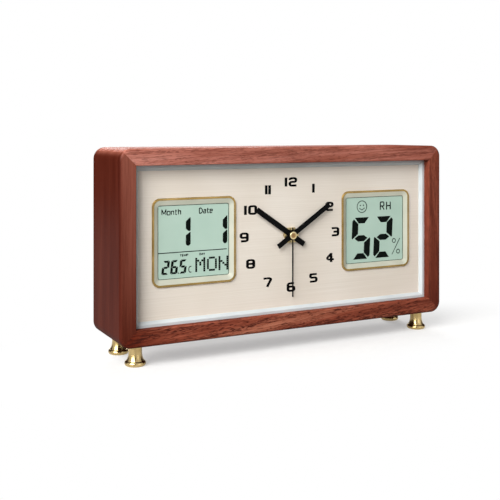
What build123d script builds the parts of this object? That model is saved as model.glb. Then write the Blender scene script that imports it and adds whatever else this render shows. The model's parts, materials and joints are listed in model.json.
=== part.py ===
from build123d import *
import os
from math import cos, pi, radians, sin, tan

# The clock stands on its feet at z = 0, with x to the right, y to the back and z up.
# Its front face is at y = -case_depth / 2. A depth below is measured back from that face.

# Box of four mitred boards
case_width = 321.0
case_depth = 71.0
total_height = 176.0
foot_height = 17.0
front_rim = 14.0
lip_depth = 7.0
board_thickness = 11.0
case_corner_radius = 10.0
front_edge_round = 2.5
rear_edge_round = 1.5
opening_edge_round = 0.8

# Turned brass feet, each with a stud in a threaded insert
foot_base_radius = 8.75
foot_base_height = 4.2
foot_stem_radius = 5.5
foot_collar_height = 1.3
foot_collar_overhang = 0.3
foot_inset_side = 18.0
foot_inset_front = 14.5
stud_radius = 1.95
stud_length = 7.0
insert_radius = 3.0
insert_length = 8.0
insert_clearance = 0.05

# White surround and dial
liner_overlap = 2.5
liner_flat = 2.2
liner_bevel = 2.3
liner_thickness = 3.0
liner_land = 0.4
liner_corner_radius = 7.0
liner_skirt_wall = 2.0
dial_thickness = 1.6
dial_fit = 0.2
dial_rise = 1.7

# Display windows and their modules
bezel_width = 76.0
bezel_height = 73.0
bezel_corner_radius = 7.0
bezel_lip = 1.5
bezel_proud = 1.0
bezel_side_margin = 12.0
bezel_skirt_inset = 2.7
bezel_fit = 0.2
display_side_cover = 5.5
display_end_cover = 6.0
display_width = bezel_width - 2 * display_side_cover
display_height = bezel_height - 2 * display_end_cover
display_corner_radius = 2.0
display_land = 0.5
cell_border = 2.5
lcd_thickness = 2.4
strip_thickness = 2.0
strip_height = 4.6
board_height = 1.2
housing_wall = 2.8
housing_gap = 0.2
housing_depth = 16.0
housing_rear_wall = 2.0
housing_corner_radius = 5.0
board_post_radius = 1.5
ear_radius = 3.5
ear_thickness = 2.0
ear_spacing = 56.0
coin_radius = 10.0
coin_thickness = 3.2
coin_rise = 8.0
coin_gap = 0.3
door_radius = 12.0
door_gap = 0.3
door_tab_reach = 2.2
door_tab_width = 6.0
door_tab_thickness = 0.7
door_axial_gap = 0.15
coin_slot_width = 1.6
coin_slot_depth = 1.0
door_edge_round = 0.3
button_radius = 3.0
button_flange = 1.0
button_travel = 0.6
button_pitch = 16.0
button_drop = 24.0
button_proud = 1.0
button_gap = 0.2
switch_size = 6.0
switch_height = 3.4
stem_radius = 1.5
sensor_size = 5.0
sensor_hole_depth = 1.0
vent_width = 1.6
vent_length = 14.0
vent_pitch = 4.0
vent_count = 5

# Rear panel and the blocks that carry it
block_size = 12.0
block_length = 12.0
panel_thickness = 3.0
panel_gap = 0.5
panel_corner_radius = 1.0
cutout_gap = 0.6
panel_screw_radius = 1.4
panel_screw_head_radius = 2.8
panel_screw_head_height = 1.6
panel_screw_length = 9.0
ear_screw_radius = 1.1
ear_screw_head_radius = 2.0
ear_screw_head_height = 1.3
ear_screw_skin = 0.5
screw_slot_width = 0.8
screw_slot_depth = 0.7
screw_fit = 0.05

# Quartz movement: shells, bush and battery
shell_wall = 1.2
shell_corner_radius = 3.0
gear_room_above = 26.8
gear_room_below = 11.0
partition = 1.0
battery_radius = 7.1
battery_body_length = 49.2
battery_nub_length = 1.3
battery_nub_radius = 2.65
battery_edge_round = 0.5
battery_gap = 0.3
plus_plate = 0.4
contact_spring_depth = 2.3
washer_thickness = 0.8
washer_radius = 8.0
bush_radius = 3.9
bush_bore_radius = 2.6
bush_front = 2.2
nut_across_flats = 13.0
nut_thickness = 2.0
thread_fit = 0.05
running_fit = 0.08
pivot_fit = 0.06
rear_cover_thickness = 1.2
rear_cover_corner = 1.0
plate_post_radius = 1.5
plate_post_inset = 2.0
pivot_boss_radius = 1.4

# Hands, each with its clockwise angle from twelve
hour_hand_angle = 304.4
minute_hand_angle = 56.5
second_hand_angle = 180.0
hour_hand_length = 42.0
hour_hand_tail = 15.2
hour_hand_width = 4.8
minute_hand_length = 46.4
minute_hand_tail = 17.0
minute_hand_width = 4.5
hand_thickness = 0.5
hand_gap = 0.4
hand_hub_radius = 4.4
second_hand_length = 54.0
second_hand_tail = 7.0
second_hand_width = 1.3
second_hand_thickness = 0.3
cap_radius = 3.5
cap_height = 1.5
cap_dish_radius = 2.6
cap_dish_depth = 0.6

# Wheels of the movement, from front to back
tooth_tip = 0.7
tooth_root = 1.0
tooth_share = 0.65
tooth_flank_angle = 20.0
layer_gap = 0.3
thick_wheel = 1.0
thin_wheel = 0.6
hour_wheel_teeth = 40
minute_pinion_teeth = 10
cannon_teeth = 12
minute_wheel_teeth = 36
setting_teeth = 12
centre_wheel_teeth = 80
third_pinion_teeth = 10
third_wheel_teeth = 75
seconds_pinion_teeth = 10
seconds_wheel_teeth = 50
fifth_pinion_teeth = 10
fifth_wheel_teeth = 60
rotor_pinion_teeth = 10
motion_distance = 9.6
motion_angle = 100.0
setting_angle = 150.0
third_distance = 8.5
third_angle = 160.0
fifth_distance = 9.0
fifth_angle = 20.0
rotor_distance = 7.0
rotor_angle = 75.0
arbor_radius = 0.6
pivot_radius = 0.4
seconds_arbor_radius = 0.54
tube_wall = 0.88
middle_plate_thickness = 1.0
rotor_magnet_radius = 2.5
rotor_magnet_length = 2.0
stator_thickness = 0.8
stator_air_gap = 0.5
stator_leg = 3.0
stator_margin = 1.0
stator_reach_left = 15.0
stator_reach_right = 10.0
stator_pillar_radius = 1.0
stator_pillar_inset = 1.6
coil_radius = 3.2
coil_flange = 0.4
coil_flange_thickness = 1.0
coil_margin = 1.0
coil_length = 17.0
coil_core_height = 2.4
coil_core_thickness = 1.0
circuit_thickness = 1.0
circuit_gap = 0.5
crystal_radius = 1.0
crystal_length = 6.0
crystal_inset = 3.0
knob_radius = 7.0
knob_thickness = 3.0
knob_shaft_radius = 1.5
knob_flutes = 24
knob_flute_radius = 0.5

# Places worked out from the sizes above
case_height = total_height - foot_height
case_middle = foot_height + case_height / 2
dial_middle = case_middle + dial_rise
opening_width = case_width - 2 * front_rim
opening_height = case_height - 2 * front_rim
inner_width = case_width - 2 * board_thickness
inner_height = case_height - 2 * board_thickness
liner_width = opening_width + 2 * liner_overlap
liner_height = opening_height + 2 * liner_overlap
liner_reach = liner_flat + liner_bevel
dial_near = lip_depth + liner_thickness
dial_far = dial_near + dial_thickness
dial_width = liner_width - 2 * (liner_skirt_wall + dial_fit)
dial_height = liner_height - 2 * (liner_skirt_wall + dial_fit)
window_offset = opening_width / 2 - liner_reach - bezel_side_margin - bezel_width / 2
panel_near = dial_far + block_length
panel_far = panel_near + panel_thickness
block_x = inner_width / 2 - block_size / 2
block_z = inner_height / 2 - block_size / 2
screw_tip = panel_far - panel_screw_length
block_places = [
    (-block_x, case_middle - block_z),
    (block_x, case_middle - block_z),
    (-block_x, case_middle + block_z),
    (block_x, case_middle + block_z),
]

# Depths of the movement, worked out from front to back
shell_near = dial_far + washer_thickness
shell_floor = shell_near + shell_wall
nut_near = dial_near - nut_thickness
bush_end = nut_near - (bush_front - nut_thickness)
hour_hand_far = bush_end - hand_gap / 2
hour_hand_near = hour_hand_far - hand_thickness
minute_hand_far = hour_hand_near - hand_gap
minute_hand_near = minute_hand_far - hand_thickness
second_hand_far = minute_hand_near - hand_gap
second_hand_near = second_hand_far - second_hand_thickness
cap_near = second_hand_near - cap_height
hour_wheel_near = shell_floor + layer_gap
hour_wheel_far = hour_wheel_near + thick_wheel
motion_wheel_near = hour_wheel_far + layer_gap * 2
motion_wheel_far = motion_wheel_near + thick_wheel
plate_near = motion_wheel_far + layer_gap * 2
plate_far = plate_near + middle_plate_thickness
centre_wheel_near = plate_far + layer_gap
centre_wheel_far = centre_wheel_near + thick_wheel
third_wheel_near = centre_wheel_far + layer_gap * 2
third_wheel_far = third_wheel_near + thin_wheel
seconds_wheel_near = third_wheel_far + layer_gap
seconds_wheel_far = seconds_wheel_near + thin_wheel
fifth_wheel_near = seconds_wheel_far + layer_gap
fifth_wheel_far = fifth_wheel_near + thin_wheel
magnet_near = fifth_wheel_far + layer_gap * 2
magnet_far = magnet_near + rotor_magnet_length
stator_near = magnet_near + (rotor_magnet_length - stator_thickness) / 2
stator_far = stator_near + stator_thickness
circuit_near = magnet_far + layer_gap
circuit_far = circuit_near + circuit_thickness
cover_near = circuit_far + layer_gap * 3
cover_far = cover_near + rear_cover_thickness
knob_near = cover_far + layer_gap
knob_far = knob_near + knob_thickness

# Outline of the movement
battery_length = battery_body_length + battery_nub_length
shell_inner_width = battery_length + plus_plate + battery_gap + contact_spring_depth
shell_width = shell_inner_width + 2 * shell_wall
bay_height = 2 * (battery_radius + battery_gap)
shell_top = gear_room_above + shell_wall
bay_top = -gear_room_below - partition
bay_bottom = bay_top - bay_height
shell_bottom = bay_bottom - shell_wall
shell_height = shell_top - shell_bottom
shell_middle = dial_middle + (shell_top + shell_bottom) / 2
battery_z = dial_middle + (bay_top + bay_bottom) / 2
battery_depth = shell_floor + battery_gap + battery_radius

# Depths inside a display module
lcd_far = dial_far + lcd_thickness
module_board_near = lcd_far + strip_height
module_board_far = module_board_near + board_height
housing_far = dial_far + housing_depth
housing_wall_near = housing_far - housing_rear_wall
switch_far = module_board_far + switch_height
lcd_width = display_width + 2 * cell_border
lcd_height = display_height + 2 * cell_border
housing_inner_width = lcd_width + 2 * housing_gap
housing_inner_height = lcd_height + 2 * housing_gap
housing_width = housing_inner_width + 2 * housing_wall
housing_height = housing_inner_height + 2 * housing_wall
coin_z = dial_middle + coin_rise
coin_cup_floor = module_board_far + layer_gap * 2
coin_near = coin_cup_floor + ear_thickness / 2
coin_far = coin_near + coin_thickness


def facing(depth):
    """Plane that looks to the front, at a depth behind the front face."""
    return Plane.XZ.offset(case_depth / 2 - depth)


def back_to(near, far, mode=Mode.ADD, outline=None):
    """Extrude the waiting sketch, or the given outline, from depth near to depth far."""
    extrude(outline, amount=-(far - near), mode=mode)


def disc(places, radius, near, far, mode=Mode.ADD):
    """Round discs or holes at some places of the front view, from one depth to another."""
    with BuildSketch(facing(near)) as outline:
        with Locations(*places):
            Circle(radius)
    back_to(near, far, mode, outline.sketch)


def block(places, width, height, near, far, radius=0.0, mode=Mode.ADD):
    """Straight or rounded rectangles at some places of the front view."""
    with BuildSketch(facing(near)) as outline:
        with Locations(*places):
            if radius > 0:
                RectangleRounded(width, height, radius)
            else:
                Rectangle(width, height)
    back_to(near, far, mode, outline.sketch)


def save(part, name):
    """Name a finished piece and write it to its own file."""
    part.label = name
    export_step(part, "parts/" + name + ".step")


def polar(origin, distance, angle):
    """Place in the front view at a distance and an angle from another place."""
    across = origin[0] + distance * cos(radians(angle))
    up = origin[1] + distance * sin(radians(angle))
    return (across, up)


def tooth_points(origin, teeth, module, phase):
    """Corner points of a toothed wheel with straight flanks."""
    pitch_radius = module * teeth / 2
    root_radius = pitch_radius - tooth_root * module
    tip_radius = pitch_radius + tooth_tip * module
    half_width = tooth_share * pi * module / 4
    slope = tan(radians(tooth_flank_angle))
    root_half = min((half_width + tooth_root * module * slope) / root_radius, 0.98 * pi / teeth)
    tip_half = (half_width - tooth_tip * module * slope) / tip_radius
    corners = []
    for tooth in range(teeth):
        middle = radians(phase) + 2 * pi * tooth / teeth
        for radius, turn in (
            (root_radius, -root_half),
            (tip_radius, -tip_half),
            (tip_radius, tip_half),
            (root_radius, root_half),
        ):
            across = origin[0] + radius * cos(middle + turn)
            up = origin[1] + radius * sin(middle + turn)
            corners.append((across, up))
    return corners


def toothed_wheel(origin, teeth, module, phase, near, far):
    """Add a toothed wheel to the piece that is being made."""
    with BuildSketch(facing(near)) as outline:
        with BuildLine():
            Polyline(*tooth_points(origin, teeth, module, phase), close=True)
        make_face()
    back_to(near, far, Mode.ADD, outline.sketch)


def meshing_phase(angle, driver_teeth, driver_phase, driven_teeth):
    """Phase of a wheel that meshes with a driver in the direction of angle."""
    early = (angle - driver_phase) % (360 / driver_teeth)
    return angle + 180 + 180 / driven_teeth + early * driver_teeth / driven_teeth


def slotted_screws(places, shank_radius, head_radius, head_height, near, seat):
    """Screws driven from behind: shank from depth near to seat, then a slotted head."""
    disc(places, shank_radius, near, seat)
    disc(places, head_radius, seat, seat + head_height)
    slot_near = seat + head_height - screw_slot_depth
    block(places, 2 * head_radius, screw_slot_width, slot_near, seat + head_height, 0.0, Mode.SUBTRACT)


# Box: one ring of wood, cut at the corners by the mitre planes
def case_ring():
    """Wooden ring with its front rim, the thinner wall behind it and the rounded edges."""
    middle = [(0, case_middle)]
    block(middle, case_width, case_height, 0, case_depth, case_corner_radius)
    block(middle, opening_width, opening_height, 0, lip_depth, 0.0, Mode.SUBTRACT)
    block(middle, inner_width, inner_height, lip_depth, case_depth, 0.0, Mode.SUBTRACT)


def round_case_edges(part):
    """Round the outer and inner edges of the front and the outer edges of the back."""
    front = part.faces().sort_by(Axis.Y)[0]
    fillet(front.outer_wire().edges(), min(front_edge_round, front_rim * 0.4))
    front = part.faces().filter_by(Plane.XZ).sort_by(Axis.Y)[0]
    fillet(front.inner_wires()[0].edges(), min(opening_edge_round, front_rim * 0.2))
    rear = part.faces().filter_by(Plane.XZ).sort_by(Axis.Y)[-1]
    fillet(rear.outer_wire().edges(), min(rear_edge_round, board_thickness * 0.4))


def mitre_wedge(direction):
    """Keep the quarter of the ring that belongs to one board."""
    margin = 5.0
    half_width = case_width / 2
    half_height = case_height / 2
    reach = min(half_width, half_height) - margin
    outer_x = half_width + margin
    outer_z = half_height + margin
    inner_x = half_width - reach
    inner_z = half_height - reach
    if direction == "top":
        corners = [(-outer_x, outer_z), (outer_x, outer_z), (inner_x, inner_z), (-inner_x, inner_z)]
    elif direction == "bottom":
        corners = [(-outer_x, -outer_z), (outer_x, -outer_z), (inner_x, -inner_z), (-inner_x, -inner_z)]
    elif direction == "left":
        corners = [(-outer_x, -outer_z), (-outer_x, outer_z), (-inner_x, inner_z), (-inner_x, -inner_z)]
    else:
        corners = [(outer_x, -outer_z), (outer_x, outer_z), (inner_x, inner_z), (inner_x, -inner_z)]
    raised = [(across, case_middle + up) for across, up in corners]
    with BuildSketch(facing(-margin)) as outline:
        with BuildLine():
            Polyline(*raised, close=True)
        make_face()
    back_to(-margin, case_depth + margin, Mode.INTERSECT, outline.sketch)


foot_x = case_width / 2 - foot_inset_side
foot_y = case_depth / 2 - foot_inset_front
foot_places = {
    "foot_front_left": (-foot_x, -foot_y),
    "foot_front_right": (foot_x, -foot_y),
    "foot_rear_left": (-foot_x, foot_y),
    "foot_rear_right": (foot_x, foot_y),
}

os.makedirs("parts", exist_ok=True)

for side in ("top", "bottom", "left", "right"):
    with BuildPart() as board:
        case_ring()
        round_case_edges(board.part)
        mitre_wedge(side)
        if side == "bottom":
            with BuildSketch(Plane.XY.offset(foot_height)):
                with Locations(*foot_places.values()):
                    Circle(insert_radius)
            extrude(amount=insert_length, mode=Mode.SUBTRACT)
    save(board.part, side + "_board")

with BuildPart() as corner_blocks:
    block(block_places, block_size, block_size, dial_far, panel_near)
    disc(block_places, panel_screw_radius + screw_fit, screw_tip, panel_near, Mode.SUBTRACT)
save(corner_blocks.part, "corner_blocks")

# Feet
with BuildPart() as foot_inserts:
    with BuildSketch(Plane.XY.offset(foot_height)):
        with Locations(*foot_places.values()):
            Circle(insert_radius)
            Circle(stud_radius + insert_clearance, mode=Mode.SUBTRACT)
    extrude(amount=insert_length)
save(foot_inserts.part, "foot_inserts")

for name, (foot_across, foot_back) in foot_places.items():
    with BuildPart() as foot:
        with BuildSketch(Plane((foot_across, foot_back, 0), x_dir=(1, 0, 0), z_dir=(0, -1, 0))):
            base_edge = foot_base_radius - foot_base_height * 0.37
            flare_radius = foot_stem_radius * 1.32
            flare_top = foot_base_height + (foot_height - foot_base_height) * 0.58
            flare_bend = foot_base_height + (foot_height - foot_base_height) * 0.24
            flare_middle = (foot_stem_radius * 1.08, flare_bend)
            collar_radius = foot_stem_radius + foot_collar_overhang
            collar_bottom = foot_height - foot_collar_height
            stud_top = foot_height + stud_length
            with BuildLine():
                Line((0, 0), (base_edge, 0))
                ThreePointArc(
                    (base_edge, 0),
                    (foot_base_radius, foot_base_height / 2),
                    (base_edge, foot_base_height),
                )
                Line((base_edge, foot_base_height), (flare_radius, foot_base_height))
                ThreePointArc((flare_radius, foot_base_height), flare_middle, (foot_stem_radius, flare_top))
                Line((foot_stem_radius, flare_top), (foot_stem_radius, collar_bottom))
                Line((foot_stem_radius, collar_bottom), (collar_radius, collar_bottom))
                Line((collar_radius, collar_bottom), (collar_radius, foot_height))
                Line((collar_radius, foot_height), (stud_radius, foot_height))
                Line((stud_radius, foot_height), (stud_radius, stud_top))
                Line((stud_radius, stud_top), (0, stud_top))
                Line((0, stud_top), (0, 0))
            make_face()
        revolve(axis=Axis((foot_across, foot_back, 0), (0, 0, 1)))
    save(foot.part, name)

# White surround: a bevelled face, and a skirt that holds the dial
with BuildPart() as white_liner:
    liner_place = [(0, case_middle)]
    face_width = opening_width - 2 * liner_flat
    face_height = opening_height - 2 * liner_flat
    bevel_depth = liner_thickness - liner_land
    block(liner_place, liner_width, liner_height, lip_depth, dial_far, liner_corner_radius)
    with BuildSketch(facing(lip_depth)):
        with Locations((0, case_middle)):
            Rectangle(face_width, face_height)
    with BuildSketch(facing(lip_depth + bevel_depth)):
        with Locations((0, case_middle)):
            Rectangle(face_width - 2 * liner_bevel, face_height - 2 * liner_bevel)
    loft(mode=Mode.SUBTRACT)
    bottom_width = face_width - 2 * liner_bevel
    bottom_height = face_height - 2 * liner_bevel
    block(liner_place, bottom_width, bottom_height, lip_depth, dial_far, 0.0, Mode.SUBTRACT)
    pocket_width = dial_width + 2 * dial_fit
    pocket_height = dial_height + 2 * dial_fit
    pocket_radius = liner_corner_radius - liner_skirt_wall
    block(liner_place, pocket_width, pocket_height, dial_near, dial_far, pocket_radius, Mode.SUBTRACT)
save(white_liner.part, "white_liner")

# Dial with two windows, the hole of the bush and the pilot holes of the module screws
window_width = bezel_width - 2 * bezel_skirt_inset + 2 * bezel_fit
window_height = bezel_height - 2 * bezel_skirt_inset + 2 * bezel_fit
window_radius = bezel_corner_radius - bezel_skirt_inset + bezel_fit
window_places = {"calendar": -window_offset, "humidity": window_offset}
ear_offset = housing_width / 2 + ear_radius * 0.8


def ear_places(middle_x):
    """Places of the four ears of a display module."""
    places = []
    for across in (-ear_offset, ear_offset):
        for up in (-ear_spacing / 2, ear_spacing / 2):
            places.append((middle_x + across, dial_middle + up))
    return places


with BuildPart() as dial_plate:
    dial_radius = liner_corner_radius - liner_skirt_wall - dial_fit
    block([(0, case_middle)], dial_width, dial_height, dial_near, dial_far, dial_radius)
    for middle_x in window_places.values():
        window = [(middle_x, dial_middle)]
        block(window, window_width, window_height, dial_near, dial_far, window_radius, Mode.SUBTRACT)
        pilot_near = dial_near + ear_screw_skin
        pilot_radius = ear_screw_radius + screw_fit
        disc(ear_places(middle_x), pilot_radius, pilot_near, dial_far, Mode.SUBTRACT)
    disc([(0, dial_middle)], bush_radius + dial_fit, dial_near, dial_far, Mode.SUBTRACT)
save(dial_plate.part, "dial_plate")

# Display modules: the calendar at the left and the humidity meter at the right
button_places = {"up_button": -button_pitch, "mode_button": 0.0, "down_button": button_pitch}
button_z = dial_middle - button_drop
flange_far = housing_wall_near - layer_gap
flange_near = flange_far - button_flange
door_boss_near = coin_far + door_axial_gap
door_tab_far = housing_wall_near - door_axial_gap
tab_reach = door_radius + door_tab_reach
cup_inner_radius = tab_reach + coin_gap * 2
cup_outer_radius = cup_inner_radius + shell_wall
holder_inner_radius = coin_radius + coin_gap
holder_outer_radius = holder_inner_radius + shell_wall
holder_far = door_tab_far - door_tab_thickness - coin_gap

for module, middle_x in window_places.items():
    middle = [(middle_x, dial_middle)]
    coin_place = [(middle_x, coin_z)]
    ears = ear_places(middle_x)

    with BuildPart() as bezel:
        bezel_near = dial_near - bezel_proud
        block(middle, bezel_width, bezel_height, bezel_near, dial_near, bezel_corner_radius)
        skirt_width = bezel_width - 2 * bezel_skirt_inset
        skirt_height = bezel_height - 2 * bezel_skirt_inset
        skirt_radius = bezel_corner_radius - bezel_skirt_inset
        block(middle, skirt_width, skirt_height, dial_near, dial_far, skirt_radius)
        slope_width = bezel_width - 2 * bezel_lip
        slope_height = bezel_height - 2 * bezel_lip
        with BuildSketch(facing(bezel_near)):
            with Locations(*middle):
                RectangleRounded(slope_width, slope_height, bezel_corner_radius - bezel_lip)
        with BuildSketch(facing(dial_far - display_land)):
            with Locations(*middle):
                RectangleRounded(display_width, display_height, display_corner_radius)
        loft(ruled=True, mode=Mode.SUBTRACT)
        opening_near = dial_far - display_land
        opening_size = (display_width, display_height)
        block(middle, *opening_size, opening_near, dial_far, display_corner_radius, Mode.SUBTRACT)
        rim_edges = bezel.faces().filter_by(Plane.XZ).sort_by(Axis.Y)[0].outer_wire().edges()
        fillet(rim_edges, min(bezel_lip, bezel_proud) * 0.4)
    save(bezel.part, module + "_bezel")

    with BuildPart() as lcd:
        block(middle, lcd_width, lcd_height, dial_far, lcd_far)
    save(lcd.part, module + "_lcd")

    with BuildPart() as contact_strips:
        strip_z = lcd_height / 2 - strip_thickness
        strips = [(middle_x, dial_middle - strip_z), (middle_x, dial_middle + strip_z)]
        block(strips, display_width - strip_thickness, strip_thickness, lcd_far, module_board_near)
    save(contact_strips.part, module + "_contact_strips")

    with BuildPart() as circuit_board:
        block(middle, lcd_width, lcd_height, module_board_near, module_board_far)
    save(circuit_board.part, module + "_circuit_board")

    with BuildPart() as housing:
        block(middle, housing_width, housing_height, dial_far, housing_far, housing_corner_radius)
        disc(ears, ear_radius, dial_far, dial_far + ear_thickness)
        disc(ears, ear_screw_radius + screw_fit, dial_far, dial_far + ear_thickness, Mode.SUBTRACT)
        pocket = (housing_inner_width, housing_inner_height)
        block(middle, *pocket, dial_far, housing_wall_near, 0.0, Mode.SUBTRACT)
        post_x = lcd_width / 2 - board_post_radius
        post_z = lcd_height / 2 - board_post_radius
        with BuildSketch(facing(module_board_far)):
            with Locations(*middle):
                with GridLocations(2 * post_x, 2 * post_z, 2, 2):
                    Circle(board_post_radius)
        back_to(module_board_far, housing_wall_near)
        disc(coin_place, cup_outer_radius, coin_cup_floor, housing_wall_near)
        disc(coin_place, cup_inner_radius, coin_near, housing_wall_near, Mode.SUBTRACT)
        disc(coin_place, holder_outer_radius, coin_near, holder_far)
        disc(coin_place, holder_inner_radius, coin_near, holder_far, Mode.SUBTRACT)
        disc(coin_place, door_radius + door_gap, housing_wall_near, housing_far, Mode.SUBTRACT)
        with BuildSketch(facing(housing_wall_near)):
            with Locations(*coin_place):
                notch_length = 2 * (tab_reach + door_gap)
                Rectangle(notch_length, door_tab_width + 2 * door_gap, rotation=-45)
        back_to(housing_wall_near, housing_far, Mode.SUBTRACT)
        if module == "calendar":
            holes = [(middle_x + across, button_z) for across in button_places.values()]
            disc(holes, button_radius + button_gap, housing_wall_near, housing_far, Mode.SUBTRACT)
        else:
            vents_middle = button_z + switch_size / 2
            with BuildSketch(facing(housing_wall_near)):
                with Locations((middle_x, vents_middle)):
                    with GridLocations(1, vent_pitch, 1, vent_count):
                        SlotOverall(vent_length, vent_width)
            back_to(housing_wall_near, housing_far, Mode.SUBTRACT)
    save(housing.part, module + "_housing")

    with BuildPart() as screws:
        screw_near = dial_near + ear_screw_skin
        screw_seat = dial_far + ear_thickness
        head = (ear_screw_head_radius, ear_screw_head_height)
        slotted_screws(ears, ear_screw_radius, *head, screw_near, screw_seat)
    save(screws.part, module + "_screws")

    with BuildPart() as coin_cell:
        disc(coin_place, coin_radius, coin_near, coin_far)
        chamfer(coin_cell.edges().sort_by(Axis.Y)[0], coin_thickness * 0.2)
    save(coin_cell.part, module + "_coin_cell")

    with BuildPart() as cell_door:
        disc(coin_place, door_radius, housing_wall_near, housing_far)
        disc(coin_place, door_radius - door_gap, door_boss_near, housing_wall_near)
        tab_near = door_tab_far - door_tab_thickness
        block(coin_place, 2 * tab_reach, door_tab_width, tab_near, door_tab_far)
        slot_near = housing_far - coin_slot_depth
        slot_size = (door_radius, coin_slot_width)
        block(coin_place, *slot_size, slot_near, housing_far, 0.0, Mode.SUBTRACT)
        fillet(cell_door.edges().filter_by(GeomType.CIRCLE).sort_by(Axis.Y)[-1], door_edge_round)
    save(cell_door.part, module + "_cell_door")

    if module == "calendar":
        with BuildPart() as switches:
            places = [(middle_x + across, button_z) for across in button_places.values()]
            block(places, switch_size, switch_size, module_board_far, switch_far)
            well_near = switch_far - switch_height / 2
            disc(places, stem_radius + button_gap, well_near, switch_far, Mode.SUBTRACT)
        save(switches.part, "calendar_switches")

        for name, across in button_places.items():
            place = [(middle_x + across, button_z)]
            with BuildPart() as button:
                stem_near = switch_far - switch_height / 2 + button_travel + button_gap
                disc(place, stem_radius, stem_near, flange_near)
                disc(place, button_radius + button_flange, flange_near, flange_far)
                disc(place, button_radius, flange_far, housing_far + button_proud)
                cap_edge = button.edges().filter_by(GeomType.CIRCLE).sort_by(Axis.Y)[-1]
                fillet(cap_edge, button_proud * 0.4)
            save(button.part, name)
    else:
        with BuildPart() as sensor:
            sensor_place = [(middle_x, button_z + switch_size / 2)]
            sensor_far = module_board_far + switch_height
            block(sensor_place, sensor_size, sensor_size, module_board_far, sensor_far)
            disc(sensor_place, sensor_size * 0.2, sensor_far - sensor_hole_depth, sensor_far, Mode.SUBTRACT)
        save(sensor.part, "humidity_sensor")

# Rear panel with its cut-outs, and the four screws in the corner blocks
with BuildPart() as rear_panel:
    panel_width = inner_width - 2 * panel_gap
    panel_height = inner_height - 2 * panel_gap
    block([(0, case_middle)], panel_width, panel_height, panel_near, panel_far, panel_corner_radius)
    movement_cutout = (shell_width + 2 * cutout_gap, shell_height + 2 * cutout_gap)
    cutout_radius = shell_corner_radius + cutout_gap
    block([(0, shell_middle)], *movement_cutout, panel_near, panel_far, cutout_radius, Mode.SUBTRACT)
    for middle_x in window_places.values():
        module_cutout = (housing_width + 2 * cutout_gap, housing_height + 2 * cutout_gap)
        cutout_radius = housing_corner_radius + cutout_gap
        place = [(middle_x, dial_middle)]
        block(place, *module_cutout, panel_near, panel_far, cutout_radius, Mode.SUBTRACT)
    disc(block_places, panel_screw_radius + screw_fit, panel_near, panel_far, Mode.SUBTRACT)
save(rear_panel.part, "rear_panel")

with BuildPart() as rear_panel_screws:
    head = (panel_screw_head_radius, panel_screw_head_height)
    slotted_screws(block_places, panel_screw_radius, *head, screw_tip, panel_far)
save(rear_panel_screws.part, "rear_panel_screws")

# Quartz movement. Its wheel places are seen from the front, around the middle of the dial.
centre = (0.0, dial_middle)
motion_place = polar(centre, motion_distance, motion_angle)
setting_distance = motion_distance / (cannon_teeth + minute_wheel_teeth)
setting_distance = setting_distance * (minute_wheel_teeth + setting_teeth)
setting_place = polar(motion_place, setting_distance, setting_angle)
third_place = polar(centre, third_distance, third_angle)
fifth_place = polar(centre, fifth_distance, fifth_angle)
rotor_place = polar(fifth_place, rotor_distance, rotor_angle)
cannon_module = 2 * motion_distance / (cannon_teeth + minute_wheel_teeth)
hour_module = 2 * motion_distance / (hour_wheel_teeth + minute_pinion_teeth)
centre_module = 2 * third_distance / (centre_wheel_teeth + third_pinion_teeth)
third_module = 2 * third_distance / (third_wheel_teeth + seconds_pinion_teeth)
seconds_module = 2 * fifth_distance / (seconds_wheel_teeth + fifth_pinion_teeth)
rotor_module = 2 * rotor_distance / (fifth_wheel_teeth + rotor_pinion_teeth)

pivot_hole = pivot_radius + pivot_fit
floor_pivot = shell_floor - shell_wall * 0.6
hour_tube_radius = bush_bore_radius - running_fit
hour_bore_radius = hour_tube_radius - tube_wall
collar_radius = cannon_module * (cannon_teeth / 2 - tooth_root)
stator_left = rotor_place[0] - stator_reach_left
stator_right = rotor_place[0] + stator_reach_right
stator_hole_radius = rotor_magnet_radius + stator_air_gap
stator_bottom = rotor_place[1] - stator_hole_radius - stator_margin
stator_yoke_top = rotor_place[1] + stator_hole_radius + stator_margin
coil_z = dial_middle + gear_room_above - coil_radius - coil_flange - coil_margin
coil_x = (stator_left + stator_right) / 2
core_length = stator_right - stator_left
core_near = stator_near - coil_core_thickness
pillar_places = [
    (stator_left + stator_pillar_inset, stator_yoke_top - stator_pillar_inset),
    (stator_right - stator_pillar_inset, rotor_place[1]),
]
plate_post_x = shell_inner_width / 2 - plate_post_inset
plate_post_top = dial_middle + gear_room_above - plate_post_inset
plate_post_bottom = dial_middle - gear_room_below + plate_post_inset
left_post_places = [(-plate_post_x, plate_post_top), (-plate_post_x, plate_post_bottom)]
right_post_places = [(plate_post_x, plate_post_top), (plate_post_x, plate_post_bottom)]

with BuildPart() as movement_front_shell:
    shell_place = [(0, shell_middle)]
    block(shell_place, shell_width, shell_height, shell_near, cover_near, shell_corner_radius)
    gear_room_height = gear_room_above + gear_room_below
    gear_room_middle = dial_middle + (gear_room_above - gear_room_below) / 2
    gear_room = [(0, gear_room_middle)]
    gear_room_size = (shell_inner_width, gear_room_height)
    block(gear_room, *gear_room_size, shell_floor, cover_near, 0.0, Mode.SUBTRACT)
    bay = [(0, battery_z)]
    block(bay, shell_inner_width, bay_height, shell_floor, cover_near, 0.0, Mode.SUBTRACT)
    disc([centre], bush_radius, bush_end, shell_near)
    disc([centre], bush_bore_radius, bush_end, shell_floor, Mode.SUBTRACT)
    disc(left_post_places + right_post_places, plate_post_radius, shell_floor, plate_near)
    pivots = [motion_place, setting_place]
    disc(pivots, pivot_hole, floor_pivot, shell_floor, Mode.SUBTRACT)
save(movement_front_shell.part, "movement_front_shell")

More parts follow.
